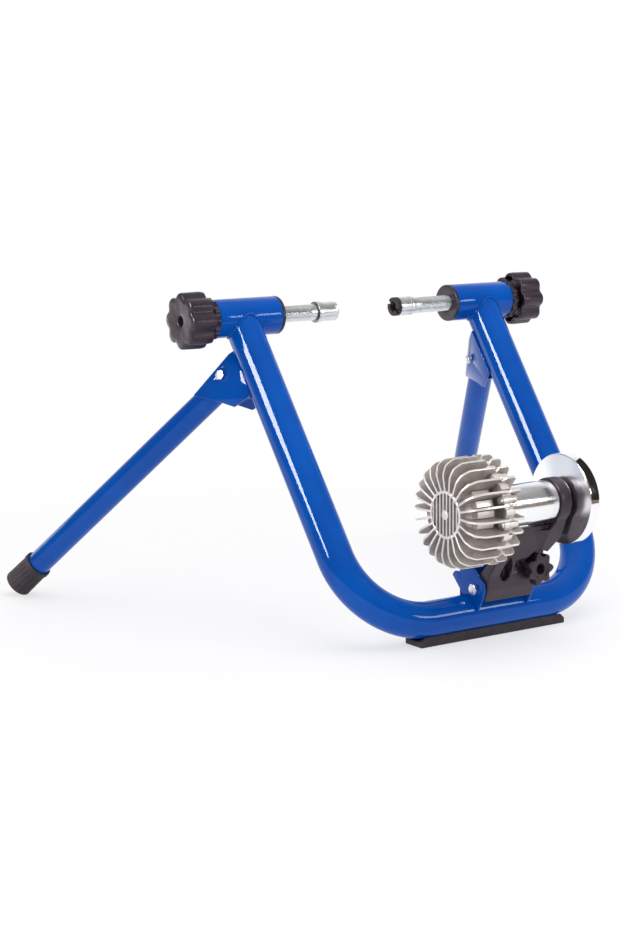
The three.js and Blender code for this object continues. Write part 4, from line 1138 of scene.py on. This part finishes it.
for label, hand in SIDES:
    leg_tube(label, hand)
    foot_cap(label, hand)
    eased(f"{label}_leg_bracket", f"{label}_folded_leg_bracket", "frame", "blue_paint",
          bevel=0.8, segments=2)
    for fastener in ("bolt", "nut"):
        eased(f"{label}_leg_{fastener}", f"{label}_leg_hex_{fastener}", "frame", "zinc_steel",
              bevel=0.5)

# %% [markdown]
# Base pad and brake bracket
#
# Under the bottom of the U lies a rubber pad, moulded with a groove for the tube. Two ears of
# sheet steel, joined by a web behind them, are welded on the tube and hold the pivot bolt.
# The CAD solids already have these shapes, so a copy gets its flat faces made whole and its
# edges rounded by a bevel, which is all that a folded or moulded edge needs.

# %% Pad, bracket and pivot bolt
eased("base_pad", "rubber_base_pad", "frame", "black_rubber", bevel=1.6, segments=4, sharp=50)
eased("unit_bracket", "brake_bracket", "frame", "blue_paint", bevel=0.7)
for label in ("bolt", "nut"):
    eased(f"pivot_{label}", f"pivot_hex_{label}", "frame", "zinc_steel", bevel=0.6)

# %% [markdown]
# Yoke
#
# The yoke is one plastic moulding: a front wall on a hinge barrel, a plate for the housing,
# and an arm with a collar. Moulded plastic has no sharp edge anywhere, inside or out. So the
# solid is cut to its openings, given a small shelf that backs the star knob's seat, rebuilt
# from small even cells, and smoothed, which rounds all of its edges and corners at once, as
# the flow of plastic in a mould does.

# %% Prisms and cuts
def extruded(outline, low, high, to_world):
    """A prism over an outline of (u, v) points between two depths, placed by a function."""
    count = len(outline)
    points = [to_world(u, v, depth) for depth in (low, high) for u, v in outline]
    faces = [tuple(reversed(range(count))), tuple(range(count, 2 * count))]
    faces += [(k, (k + 1) % count, count + (k + 1) % count, count + k) for k in range(count)]
    mesh = bpy.data.meshes.new("prism")
    mesh.from_pydata([tuple(Vector(p) * MM) for p in points], [], faces)
    return tidied(mesh)


def without(mesh, *tools):
    """The mesh with each tool cut away."""
    for tool in tools:
        cutter = add_object("cutter", tool)
        mesh = modified(mesh, ("BOOLEAN", {"operation": "DIFFERENCE", "object": cutter,
                                           "solver": "EXACT"}))
        bpy.data.objects.remove(cutter)
    return mesh


def on_front(u, v, depth):
    """Across and up in the view from the front, and depth towards the wheel."""
    return u, depth, v


print("prism and cut helpers ready")

# %% [markdown]
# Openings, shelf and rounding
#
# The wall has a leaf-shaped slot and a small hollow beside it. Both are prisms over outlines
# that were read off the front view, and they are cut through. The rebuild from cells is a
# Remesh modifier, the rounding a Smooth modifier, and a Decimate modifier then takes away the
# points that flat parts don't need. A bevel would have failed here, because too many of the
# solid's edges run together in corners.

# %% Yoke
VOXEL = 0.9


def yoke():
    mesh = tidied(frame["nodes"]["yoke"].data.copy())
    near, far = -90, -30
    leaf = [(-8.5, 104), (-4, 98), (0.5, 91), (3.4, 83), (2.8, 76.5), (-2.5, 71), (-8, 73),
            (-12, 79), (-12.8, 87), (-11.8, 96)]
    oval = [(9.7 + 5.5 * math.cos(a), 91 + 7 * math.sin(a)) for a in np.linspace(0, 6.0, 20)]
    openings = [extruded(outline, near, far, on_front) for outline in (leaf, oval)]
    shelf = [(38, 92.5), (44.5, 88), (50, 88), (55, 97), (56, 106), (54, 112), (38, 112)]
    mesh = joined(without(mesh, *openings), extruded(shelf, -40.2, -33, on_front))
    mesh = modified(mesh, ("REMESH", {"mode": "VOXEL", "voxel_size": VOXEL * MM}),
                    ("SMOOTH", {"factor": 0.5, "iterations": 5}),
                    ("DECIMATE", {"ratio": 0.35}))
    piece("moulded_yoke", mesh, "brake_unit", "black_plastic", ["yoke"], sharp=180)


yoke()

# %% [markdown]
# Star knob and tension bolt
#
# The small knob in front presses the brake against the tyre. It has seven lobes and an open
# middle where the end of its bolt shows. Its face is dished a little, and the bolt behind it
# is threaded. The star could be drawn as an outline and pulled thick, but then its face would
# be flat, so it is turned with lobes like the large knobs. The bolt is turned too.

# %% Star knob and bolt
STAR_FACE, STAR_BACK, STAR_RADIUS, STAR_BORE = 40.7, 22.7, 20.2, 6.4


def star_axis():
    """It points forwards, away from the wheel, and measures from the pivot's plane."""
    return Axis((STAR_AXIS.x, PIVOT.y, STAR_AXIS.z), (0, -1, 0), (1, 0, 0))


def star_knob():
    lip, dish, collar = STAR_BACK + 4, STAR_FACE - 1.2, 12.5
    profile = soft([(STAR_BACK, STAR_BORE, 0.4), (STAR_BACK, collar, 1.0),
                    (lip, collar + 1.5, 1.5), (lip + 1.5, STAR_RADIUS, 1.4),
                    (STAR_FACE, STAR_RADIUS, 2.2), (STAR_FACE, 12.0, 1.5), (dish, 9.5, 1.0),
                    (dish, 8.0, 0.6), (dish, STAR_BORE, 0.6)], 0.6, loop=True)
    mesh = turned(star_axis(), profile, 168,
                  lobed(STAR_RADIUS, depth=5.4, lobes=7, power=1.0, inner=10.0), loop=True)
    piece("tension_star_knob", mesh, "tension_star", "black_plastic", ["tension_knob"], sharp=45)


def tension_bolt():
    """A threaded stem with a cross pin at its far end, where the bracket holds it."""
    anchor, tip, radius, step = -35.8, STAR_FACE - 12.0, 4.0, 0.25
    rows = [(anchor + 6 + step * k, radius) for k in range(int((tip - 1 - anchor - 6) / step))]
    profile = [(anchor, 0), (anchor, radius), *rows, (tip, 3.2), (tip, 0)]
    stem = turned(star_axis(), profile, 28, threaded(root=3.4, crest=radius, pitch=1.5,
                                                     start=anchor + 12, end=tip - 0.5))
    half, pin_radius = 6.5, 6.0
    pin = turned(along_x((STAR_AXIS.x, PIVOT.y - anchor, STAR_AXIS.z)),
                 soft([(-half, 0), (-half, pin_radius, 0.7), (half, pin_radius, 0.7), (half, 0)],
                      0.7), 40)
    piece("threaded_tension_bolt", joined(stem, pin), "tension_screw", "zinc_steel",
          ["tension_bolt"])


star_knob()
tension_bolt()

# %% [markdown]
# Finned housing
#
# The brake's housing is two castings, screwed together at a flange. Twenty-four thin fins
# stand on it to carry the heat away, and their edges are ground bright. One fin is a flat
# plate with a curved outline. Its edge faces carry an attribute called bright, which the
# finish reads, and Geometry Nodes copy it round the shaft. The drum between the fins is
# turned, and the blocks, bars and bosses on it are copies too.

# %% Housing helpers
SHAFT = along_x(ROLLER_AXIS)


def casting(name, mesh, replaces=(), sharp=40):
    """A cast piece of the brake unit."""
    piece(name, mesh, "brake_unit", "cast_aluminium", replaces, sharp)


def off_shaft(middle):
    """How far a point is from the shaft's axis, in millimetres."""
    return math.hypot(middle.y - ROLLER_AXIS.y, middle.z - ROLLER_AXIS.z)


def inset(outline, distance):
    """An outline moved inwards along the bisector at each of its points."""
    points = np.asarray(outline, float)
    before, after = np.roll(points, 1, 0), np.roll(points, -1, 0)
    tangent = after - before
    tangent /= np.linalg.norm(tangent, axis=1, keepdims=True) + 1e-12
    area = np.sum(points[:, 0] * after[:, 1] - after[:, 0] * points[:, 1])
    inward = np.stack([-tangent[:, 1], tangent[:, 0]], 1) * (1 if area > 0 else -1)
    return points + inward * distance


def fin(outline, thickness):
    """A plate in the plane of X and Y, from (along, radius) points, with eased edges."""
    half, edge = thickness / 2, 0.45
    inner = inset(outline, edge)
    levels = ((inner, -half), (outline, edge - half), (outline, half - edge), (inner, half))
    mesh = skinned([[(a, r, depth) for a, r in points] for points, depth in levels])
    return marked(mesh, "bright", lambda middle, normal: abs(normal.z) < 0.9)


def copies(mesh, count, turn, slot="cast_aluminium"):
    """A mesh at even turns round the shaft, the first at this angle."""
    return AROUND.made_from(mesh, Count=count, Turn=turn, Middle=tuple(ROLLER_AXIS * MM),
                            Finish=FINISHES[slot])


print("housing helpers ready, shaft at", [round(v, 2) for v in SHAFT.at])

# %% [markdown]
# Fins
#
# Each half of the housing has its own fins: those of the front half sweep forward in a
# rounded nose past the disc, those of the rear half are shorter and squarer. An outline of a few
# points, with a radius at each corner, is all that a fin needs, because the copies share it.
# Cutting slots into a drum would give the same look, but with far more faces to clean.

# %% Fins
HOUSING_FACE, FIN_NOSE, PARTING, HOUSING_BACK, FIN_BACK = -108.2, -112.0, -58.5, -36.0, -40.5
FIN_RADIUS, FIN_THICKNESS, DISC_RADIUS, DRUM_RADIUS, FLANGE_RADIUS = 64.5, 2.6, 28.0, 44.0, 56.5


def front_fins():
    outline = soft([(-97, 24.6, 0), (HOUSING_FACE - 0.2, 24.6, 0.8), (FIN_NOSE + 1.4, 37.0, 8.0),
                    (FIN_NOSE, 47.5, 12.0), (FIN_NOSE + 3.6, 58.5, 10.0),
                    (-97.0, FIN_RADIUS - 0.2, 14.0), (PARTING - 6, FIN_RADIUS, 3.0),
                    (PARTING - 0.3, 59.5, 1.5), (PARTING - 0.3, 42.0, 0), (-94, 42.0, 0)], 1.0,
                   steps=7, loop=True)
    casting("front_housing_fins", copies(fin(outline, FIN_THICKNESS), FIN_COUNT, FIN_TURN))


def rear_fins():
    outline = soft([(PARTING + 0.6, 40.0, 0), (PARTING + 0.6, FLANGE_RADIUS - 0.3, 1.0),
                    (PARTING + 3.3, FIN_RADIUS, 2.5), (FIN_BACK, FIN_RADIUS, 9.0),
                    (FIN_BACK + 1.0, FLANGE_RADIUS - 4, 6.0), (HOUSING_BACK - 0.3, 40.5, 3.0),
                    (HOUSING_BACK - 0.3, 22.0, 0), (-48, 22.0, 0)], 1.0, steps=7, loop=True)
    casting("rear_housing_fins", copies(fin(outline, FIN_THICKNESS + 0.4), FIN_COUNT, FIN_TURN))


front_fins()
rear_fins()

# %% [markdown]
# Front drum
#
# Between the fins the front half is a drum that steps out to the flange. On the real casting
# the face of the disc and the flange's rim are machined, and the well in the middle is painted
# dark as shade. It is turned from one profile, and a test on each face says which of the three
# it is, so that one finish can show them all.

# %% Front drum
DISC_FLOOR, RIM_EDGE = -104.2, 55.6


def front_drum():
    flange, barrel, bore = PARTING - 6.0, DRUM_RADIUS - 0.5, 39.5
    profile = soft([(DISC_FLOOR, 0, 0), (DISC_FLOOR, 24.5, 0.3), (HOUSING_FACE, 24.9, 0.5),
                    (HOUSING_FACE, DISC_RADIUS, 1.5), (-101.5, DISC_RADIUS + 3, 3.0),
                    (-99.8, 39.0, 5.0), (-93.0, barrel, 3.0), (-73.0, barrel, 0.6),
                    (-72.0, 40.0, 1.0), (flange - 0.6, 40.0, 1.0), (flange, 46.0, 0.8),
                    (flange, FLANGE_RADIUS, 0.8), (PARTING, FLANGE_RADIUS, 0.5),
                    (PARTING, bore, 0.3), (-90, bore, 1.0), (-90, 0)], 0.6)

    def ground_or_painted_shade(middle, normal):
        away = off_shaft(middle)
        # The floor of the well gets -1, which the finish paints dark: painted shade.
        if middle.x < DISC_FLOOR + 0.3 and away < 24.8:
            return -1.0
        return middle.x < HOUSING_FACE + 0.4 or (middle.x > flange - 0.3 and away > RIM_EDGE)

    mesh = marked(turned(SHAFT, profile, 144), "bright", ground_or_painted_shade)
    casting("front_housing_drum", mesh, ["housing_front"], sharp=35)


front_drum()

# %% [markdown]
# Bars and blocks
#
# Upright bars stand in the well of the disc, and ground blocks fill the gaps between the fins.
# They could be drawn one by one, but then they would hardly be even. So each is made once, as
# a small prism with eased edges, and a recipe sets the copies. Their outer faces are ground
# bright like the fins' edges.

# %% Bars and blocks
BAND_FRONT, BAND_BACK, BAND_RADIUS = -98.0, -73.5, 47.5
BAR_COUNT, BAR_PITCH, BAR_HEIGHT, BAR_REACH = 8, 6.2, 4.2, 25.0


def rectangle(half_width, low, high):
    """An outline of four corners."""
    return [(-half_width, low), (half_width, low), (half_width, high), (-half_width, high)]


def disc_bars():
    """Upright bars in the middle of the front, with a flat boss between them."""
    bar = extruded(rectangle(half_width=1.35, low=-1.0, high=1.0), 0.0, BAR_HEIGHT,
                   lambda u, v, depth: (-depth, u, v / MM))
    bar = modified(bar, ("BEVEL", {"width": 0.4 * MM, "segments": 2}))
    marked(bar, "bright", lambda middle, normal: 0.35 if normal.x < -0.5 else 0.0)
    middle = Vector((DISC_FLOOR, ROLLER_AXIS.y, ROLLER_AXIS.z))
    bars = BARS.made_from(bar, Count=BAR_COUNT, Radius=BAR_REACH * MM, Pitch=BAR_PITCH * MM,
                          Middle=tuple(middle * MM), Finish=FINISHES["cast_aluminium"])
    face = HOUSING_FACE - 0.4
    boss = turned(SHAFT, soft([(-103, 0), (face, 0, 0), (face, 5.6, 0.8), (-103, 6.2, 0)], 0.5),
                  40)
    casting("front_housing_bars", joined(bars, marked(boss, "bright", 1.0)))


def block(low, high, inner, outer, width):
    """A block on a drum, bounded by two distances along and two radii; its top is ground."""
    mesh = extruded(rectangle(width / 2, inner, outer), low, high,
                    lambda u, v, depth: (depth, v, u))
    mesh = modified(mesh, ("BEVEL", {"width": 0.7 * MM, "segments": 3}))
    return marked(mesh, "bright", lambda middle, normal: normal.y > 0.8)


def drum_blocks():
    """The ground blocks between the fins, in the middle of each gap."""
    mesh = block(BAND_FRONT, BAND_BACK, inner=40.0, outer=BAND_RADIUS, width=8.4)
    half_gap = math.pi / FIN_COUNT
    casting("front_housing_blocks", copies(mesh, FIN_COUNT, FIN_TURN + half_gap))


disc_bars()
drum_blocks()

# %% [markdown]
# Round the flange
#
# Twelve screws hold the halves together, each through a boss in every second gap between the
# fins. The other gaps hold a raised pad. Bosses are cast with the halves, and they could be
# joined to each of them. Here those of both halves are one mesh, which is copied as a whole, so
# they stay in line across the parting.

# %% Screw bosses and pads
SCREW_CIRCLE = 53.5


def screw_bosses():
    """Bosses for the screws on both sides of the parting line, in one mesh."""
    axis, near, far = along_x((0, SCREW_CIRCLE, 0)), PARTING - 8.5, -46.4
    front = [(near, 0), (near, 5.2, 0.6), (PARTING, 5.6, 0.3), (PARTING, 0)]
    back = [(PARTING + 0.3, 0), (PARTING + 0.3, 5.6, 0.3), (far, 5.2, 1.2), (far, 0)]
    pair = joined(*(turned(axis, soft(profile, 0.4), 32) for profile in (front, back)))
    marked(pair, "bright", lambda middle, normal: normal.y > 0.5)
    casting("housing_screw_bosses", copies(pair, SCREW_COUNT, SCREW_TURN))


def flange_pads():
    """Raised pads on the flange between the fins that have no screw."""
    mesh = block(PARTING - 6.6, PARTING + 6.4, inner=50.0, outer=58.6, width=7.0)
    between = SCREW_TURN + math.pi / SCREW_COUNT
    casting("housing_flange_pads", copies(mesh, SCREW_COUNT, between))


screw_bosses()
flange_pads()

# %% [markdown]
# Rear cover
#
# The rear half is shallower than the front one. It steps in from the flange to a wall, and a
# neck in the middle holds the bearing and the seal. Two lugs under the neck take the screws
# from the yoke. It is turned like the drum. The lugs are short turned stubs that only overlap
# its wall, because a boolean would spoil its even faces for a seam that nobody sees.

# %% Rear cover
YOKE_SCREW_CIRCLE = 40


def yoke_screw_at(side):
    """The middle of a yoke screw, low on one side of the shaft."""
    return ROLLER_AXIS + Vector((0, YOKE_SCREW_CIRCLE * math.sin(side * math.pi / 6),
                                 -YOKE_SCREW_CIRCLE * math.cos(math.pi / 6)))


def rear_cover():
    face, wall, bore, seat = PARTING + 0.3, -46.2, 13.8, -47.3
    profile = soft([(face, bore, 0.2), (face, FLANGE_RADIUS, 0.6), (face + 6, FLANGE_RADIUS, 0.8),
                    (face + 6, 46.0, 1.0), (wall, DRUM_RADIUS, 2.0), (wall, 24.0, 1.5),
                    (HOUSING_BACK, 24.0, 1.0), (HOUSING_BACK, 17.8, 0.5), (seat, 17.8, 0.2),
                    (seat, bore, 0.2)], 0.6, loop=True)
    cover = marked(turned(SHAFT, profile, 144, loop=True), "bright",
                   lambda middle, normal: off_shaft(middle) > RIM_EDGE)
    stub = soft([(-50, 0), (-50, 7.2, 0), (HOUSING_BACK, 7.0, 0.8), (HOUSING_BACK, 0)], 0.4)
    lugs = [marked(turned(along_x(yoke_screw_at(side)), stub, 32), "bright", 0.0)
            for side in (-1, 1)]
    casting("rear_housing_cover", joined(cover, *lugs), ["housing_rear"], sharp=35)


rear_cover()

# %% [markdown]
# Screws
#
# The screws have round heads with a hexagon socket. A screw is turned like all round pieces,
# and a shape function pulls the few rings of the socket in, so that they run round a hexagon
# and not a circle. The twelve on the flange are one piece made of copies. The two that hold
# the yoke are pieces of their own.

# %% Screws
def socket_screw(head_radius, head_height, radius, seat, tip):
    """A screw along X with a hollow hexagon in its head; its seat faces towards its tip."""
    way = 1 if tip > seat else -1
    depth, corner = 2.2, math.pi / 3
    top = seat - way * head_height
    floor_at = top + way * depth
    profile = soft([(floor_at, 0), (floor_at, head_radius * 0.48, 0),
                    (top, head_radius * 0.52, 0.15), (top, head_radius, 0.5),
                    (seat, head_radius, 0.2), (seat, radius, 0), (tip, radius, 0.3), (tip, 0)],
                   0.3)

    def hexagon(angles, along, reach):
        in_socket = (reach < head_radius * 0.6) & (np.abs(along - top) < depth + 0.1)
        scale = math.cos(corner / 2) / np.cos((angles % corner) - corner / 2)
        return along, np.where(in_socket & (reach > radius * 0.2), reach * scale * 1.08, reach)

    return turned(along_x((0, 0, 0)), profile, 48, hexagon)


def housing_screws():
    mesh = socket_screw(head_radius=4.4, head_height=4.5, radius=2.2,
                        seat=PARTING - 8.6 + 1.8, tip=-48.0)
    mesh.transform(Matrix.Translation(Vector((0, SCREW_CIRCLE, 0)) * MM))
    piece("housing_screws", copies(mesh, SCREW_COUNT, SCREW_TURN, "zinc_steel"), "brake_unit",
          "zinc_steel", [f"housing_screw_{k}" for k in range(1, SCREW_COUNT + 1)])


def yoke_screws():
    for number, side in ((1, -1), (2, 1)):
        mesh = socket_screw(head_radius=4.8, head_height=3.6, radius=2.6, seat=-24.1, tip=-49.7)
        mesh.transform(Matrix.Translation(yoke_screw_at(side) * MM))
        piece(f"yoke_socket_screw_{number}", mesh, "brake_unit", "zinc_steel",
              [f"yoke_screw_{number}"])


housing_screws()
yoke_screws()

# %% [markdown]
# Roller, flywheel and shaft
#
# The tyre runs on a chromed steel roller, which turns the flywheel on the far side of the
# collar. Both are turned and polished, so smooth rings and rounded rims matter more here than
# anywhere: a mirror shows every flat. A plain cylinder would do for the outside, but one
# profile gives the web and the hub as well. A nut on the end of the shaft holds the flywheel.

# %% Roller, flywheel, shaft and nut
ROTOR_BORE, ROTOR_HUB = 7.8, 12.0


def roller():
    """A tube with a web and a hub inside; the tyre has made its wall satin."""
    left, right, outer, inner = -34.6, 44.4, 25.0, 21.5
    web_left, web_right = -0.1, 9.9
    profile = soft([(left, ROTOR_BORE, 0.3), (left, ROTOR_HUB, 0.6), (web_left, ROTOR_HUB, 1.0),
                    (web_left, inner, 1.0), (left, inner, 0.4), (left, outer, 1.4),
                    (right, outer, 1.4), (right, inner, 0.4), (web_right, inner, 1.0),
                    (web_right, ROTOR_HUB, 1.0), (right, ROTOR_HUB, 0.6),
                    (right, ROTOR_BORE, 0.3)], 0.6, loop=True)
    mesh = marked(turned(SHAFT, profile, 192, loop=True), "satin", 0.75)
    piece("chromed_roller", mesh, "rotor", "chrome", ["roller"], sharp=30)


def flywheel():
    """A thick disc with a hub on its near side and a shallow dish on its far side."""
    hub_face, face, back, rim = 60.7, 65.6, 80.25, 54.5
    dish = back - 3
    profile = soft([(hub_face, ROTOR_BORE, 0.3), (hub_face, ROTOR_HUB, 0.6),
                    (face, ROTOR_HUB, 0.8), (face, rim, 1.3), (back, rim, 2.2), (back, 40.0, 1.0),
                    (dish, 37.0, 1.5), (dish, ROTOR_HUB + 0.5, 1.0), (back, ROTOR_HUB, 0.6),
                    (back, ROTOR_BORE, 0.3)], 0.6, loop=True)
    mesh = marked(turned(SHAFT, profile, 256, loop=True), "satin",
                  lambda middle, normal: abs(normal.x) > 0.9)
    piece("polished_flywheel", mesh, "rotor", "chrome", ["flywheel"], sharp=30)


def shaft_and_nut():
    start, thread, end = -85.7, 80.25, 90.25
    shank, crest, step = 7.5, 6.0, 0.2
    rows = [(thread + 0.3 + step * k, crest) for k in range(int((end - thread - 1.3) / step))]
    profile = [(start, 0), (start, shank - 0.5), (start + 0.5, shank), (thread, shank),
               (thread, crest), *rows, (end, 5.2), (end, 0)]
    mesh = turned(SHAFT, profile, 48, threaded(root=5.4, crest=crest, pitch=1.25, start=thread,
                                               end=end - 0.5))
    piece("steel_shaft", mesh, "rotor", "zinc_steel", ["shaft"])
    eased("flywheel_nut", "flywheel_hex_nut", "rotor", "zinc_steel", bevel=0.8)


roller()
flywheel()
shaft_and_nut()

# %% [markdown]
# CAD solids that stay
#
# A few solids inside the trainer keep their CAD shape: the thread inserts, the pivot sleeve,
# the bearings, the seal, the gasket and the impeller. They could be dressed as well, but they
# hardly show. So each only gets the finish that the record names for it.

# %% Finishes on the solids that stay
slot_of = {row["node"]: row["material_slot"] for row in frame["record"]["subparts"]}
kept = [name for name, node in frame["nodes"].items() if not node.hide_render]
for name in kept:
    node = frame["nodes"][name]
    node.data.materials.clear()
    node.data.materials.append(FINISHES[slot_of[name]])
print("CAD solids kept:", ", ".join(sorted(kept)))

# %% [markdown]
# Floor
#
# The photograph was taken on white. The floor is a wide pale sheet that is partly its own
# light near the trainer, where it takes a soft shadow, and wholly its own light farther out,
# so that no horizon shows. It lies a hair below the pad, so that the two don't fight for the
# same place.

# %% Floor
def floor():
    """A square sheet of twelve metres, with more and more of its own light outwards."""
    half = 6.0
    corners = [(-half, -half, 0), (half, -half, 0), (half, half, 0), (-half, half, 0)]
    mesh = bpy.data.meshes.new("floor")
    mesh.from_pydata(corners, [], [(0, 1, 2, 3)])
    sheet = Finish("pale studio floor", (0.92, 0.92, 0.93), rough=0.6)
    grain = sheet.noise(3.0, 2.0)
    sheet.put("Base Color", sheet.mix(grain, (0.91, 0.91, 0.92), (0.93, 0.93, 0.94)))
    glow = sheet.node("ShaderNodeEmission", {}, {"Color": (1.0, 1.0, 1.0, 1.0), "Strength": 1.0})
    distance = sheet.node("ShaderNodeVectorMath", {"operation": "LENGTH"},
                          {0: sheet.place}, output="Value")
    least_glow, near, far = 0.6, 0.55, 1.3
    share = least_glow + distance.between(near, far) * (1 - least_glow)
    both = sheet.node("ShaderNodeMixShader", {}, {
        0: share, 1: Wire(sheet, sheet.shader.outputs[0]), 2: glow})
    out = sheet.tree.nodes["Material Output"]
    sheet.tree.links.new(both.socket, out.inputs["Surface"])
    mesh.materials.append(sheet.material)
    ground = add_object("studio_floor", mesh)
    ground.location.z = -0.2 * MM
    ground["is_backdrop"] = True
    print("floor", 2 * half, "m wide, glows fully beyond", far, "m")


floor()

# %% [markdown]
# World
#
# The world is white to the camera. To mirrors it is a studio: bright above, dim at the height
# of the walls, and bright again behind the trainer. To everything else it is an even soft
# light. One picture of a real room could do this, but three plain answers are easier to tune,
# and a light path says which of them is asked for.

# %% World
def studio_world():
    world = bpy.data.worlds.new("white studio")
    bpy.context.scene.world = world
    world.use_nodes = True
    sky = Tree(world.node_tree)
    path = sky.node("ShaderNodeLightPath", output="Is Camera Ray")
    seen = (path + path.other("Is Transmission Ray")).clamped()
    direction = sky.node("ShaderNodeTexCoord", output="Generated")
    height = sky.node("ShaderNodeSeparateXYZ", {}, {0: direction}, output="Z")
    walls = sky.node("ShaderNodeValToRGB", {"stops": [
        (0.0, (1, 1, 1)), (0.47, (0.7, 0.7, 0.72)), (0.5, (0.17, 0.17, 0.18)),
        (0.7, (0.24, 0.24, 0.25)), (0.85, (0.35, 0.35, 0.35)), (1.0, (0.75, 0.75, 0.75))]},
        {0: height * 0.5 + 0.5})
    behind = sky.node("ShaderNodeVectorMath", {"operation": "DOT_PRODUCT"},
                      {0: direction, 1: (0.56, 0.83, 0.0)}, output="Value")
    mirrored = path.other("Is Glossy Ray")
    white, soft_light = (1.0, 1.0, 1.0), (0.62, 0.62, 0.64)
    room = sky.mix(behind.between(0.4, 0.85), walls, white)
    colour = sky.mix(seen, sky.mix(mirrored, soft_light, room), white)
    background = world.node_tree.nodes["Background"]
    world.node_tree.links.new(colour.socket, background.inputs["Color"])
    background.inputs["Strength"].default_value = 1.0
    print("world:", world.name, "with", len(world.node_tree.nodes), "nodes")


studio_world()

# %% [markdown]
# Lamps and cards
#
# A photographer shapes the light on metal and gloss with soft boxes and black felt. Some lamps
# here only light, and some only show in mirrors, so that each streak can be placed by itself:
# a square lamp high on the left draws the long streak on the tubes, and a low one behind clears
# the flywheel's face. The dark cards on the right give the chrome its dark side.

# %% Lamps and cards
def lamp(name, at, towards, size, power, lights=True, shines=True):
    """An area lamp; it can be kept out of plain light or out of reflections."""
    data = bpy.data.lights.new(name, "AREA")
    data.shape, data.size, data.size_y, data.energy = "RECTANGLE", size[0], size[1], power
    made = bpy.data.objects.new(name, data)
    made.location = at
    made.rotation_euler = (Vector(towards) - Vector(at)).to_track_quat("-Z", "Y").to_euler()
    made.visible_diffuse, made.visible_glossy, made.visible_camera = lights, shines, False
    bpy.context.scene.collection.objects.link(made)


def card(name, outline, tone=0.012):
    """A felt card that only mirrors see, so that chrome has something dark to show."""
    mesh = bpy.data.meshes.new(name)
    mesh.from_pydata([tuple(Vector(p) * MM) for p in outline], [],
                     [tuple(range(len(outline)))])
    felt = Finish("felt", (tone, tone, tone), rough=0.9, uniform={"Specular IOR Level": 0.1})
    nap = felt.noise(60.0, 3.0)
    felt.put("Base Color", felt.mix(nap, (tone, tone * 0.8, tone * 0.7),
                                    (tone * 2, tone * 1.5, tone)))
    mesh.materials.append(felt.material)
    made = add_object(name, mesh)
    made.visible_camera = made.visible_diffuse = made.visible_shadow = False
    made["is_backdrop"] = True


def flywheel_card():
    """A curved card beside the flywheel, from its front round to its top."""
    x, inner, outer = 91.0, 57.0, 91.0
    turns = np.radians(np.linspace(176, 100, 24))
    arc = [(x, r * math.cos(a) + ROLLER_AXIS.y, r * math.sin(a) + ROLLER_AXIS.z)
           for r, way in ((inner, turns), (outer, turns[::-1])) for a in way]
    card("flywheel_card", arc)


MIDDLE = (0.0, 0.12, 0.2)
lamp("overhead", (0.1, -0.1, 2.2), MIDDLE, (1.8, 1.8), 22.0, shines=False)
lamp("left_light", (-2.0, -0.6, 1.1), MIDDLE, (0.8, 1.4), 8.0, shines=False)
lamp("left_strip", (-2.03, 0.20, 1.22), MIDDLE, (0.8, 0.8), 80.0, lights=False)
lamp("front_light", (0.3, -2.4, 1.0), MIDDLE, (1.4, 1.0), 8.5, shines=False)
lamp("front_strip", (1.15, -1.75, 0.82), MIDDLE, (0.7, 0.35), 9.0, lights=False)
lamp("right_light", (1.9, -0.4, 0.9), MIDDLE, (0.6, 1.2), 8.0, shines=False)
lamp("rear_strip", (-0.54, 1.26, 0.12), (0.29, 0.03, 0.33), (0.4, 0.4), 0.8, lights=False)
flywheel_card()
card("low_card", [(250, -1300, 0), (1050, -900, 0), (1050, -900, 300), (250, -1300, 300)],
     tone=0.15)
bpy.context.scene.view_settings.view_transform = "Standard"
print("lamps:", len(bpy.data.lights))

# %% [markdown]
# Sizes
#
# The dressed trainer has to keep the CAD model's size, because it stands for the same part.
# Both boxes are measured in the same way and written down side by side, so that a piece which
# has grown out of its solid shows up as a number.

# %% Measure
visual_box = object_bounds()
for label, box in (("CAD", cad_box), ("visual", visual_box)):
    print(label, [round(v / MM, 1) for corner in box for v in corner])
print("pieces:", len(made_triangles), "triangles:", sum(made_triangles))

# %% [markdown]
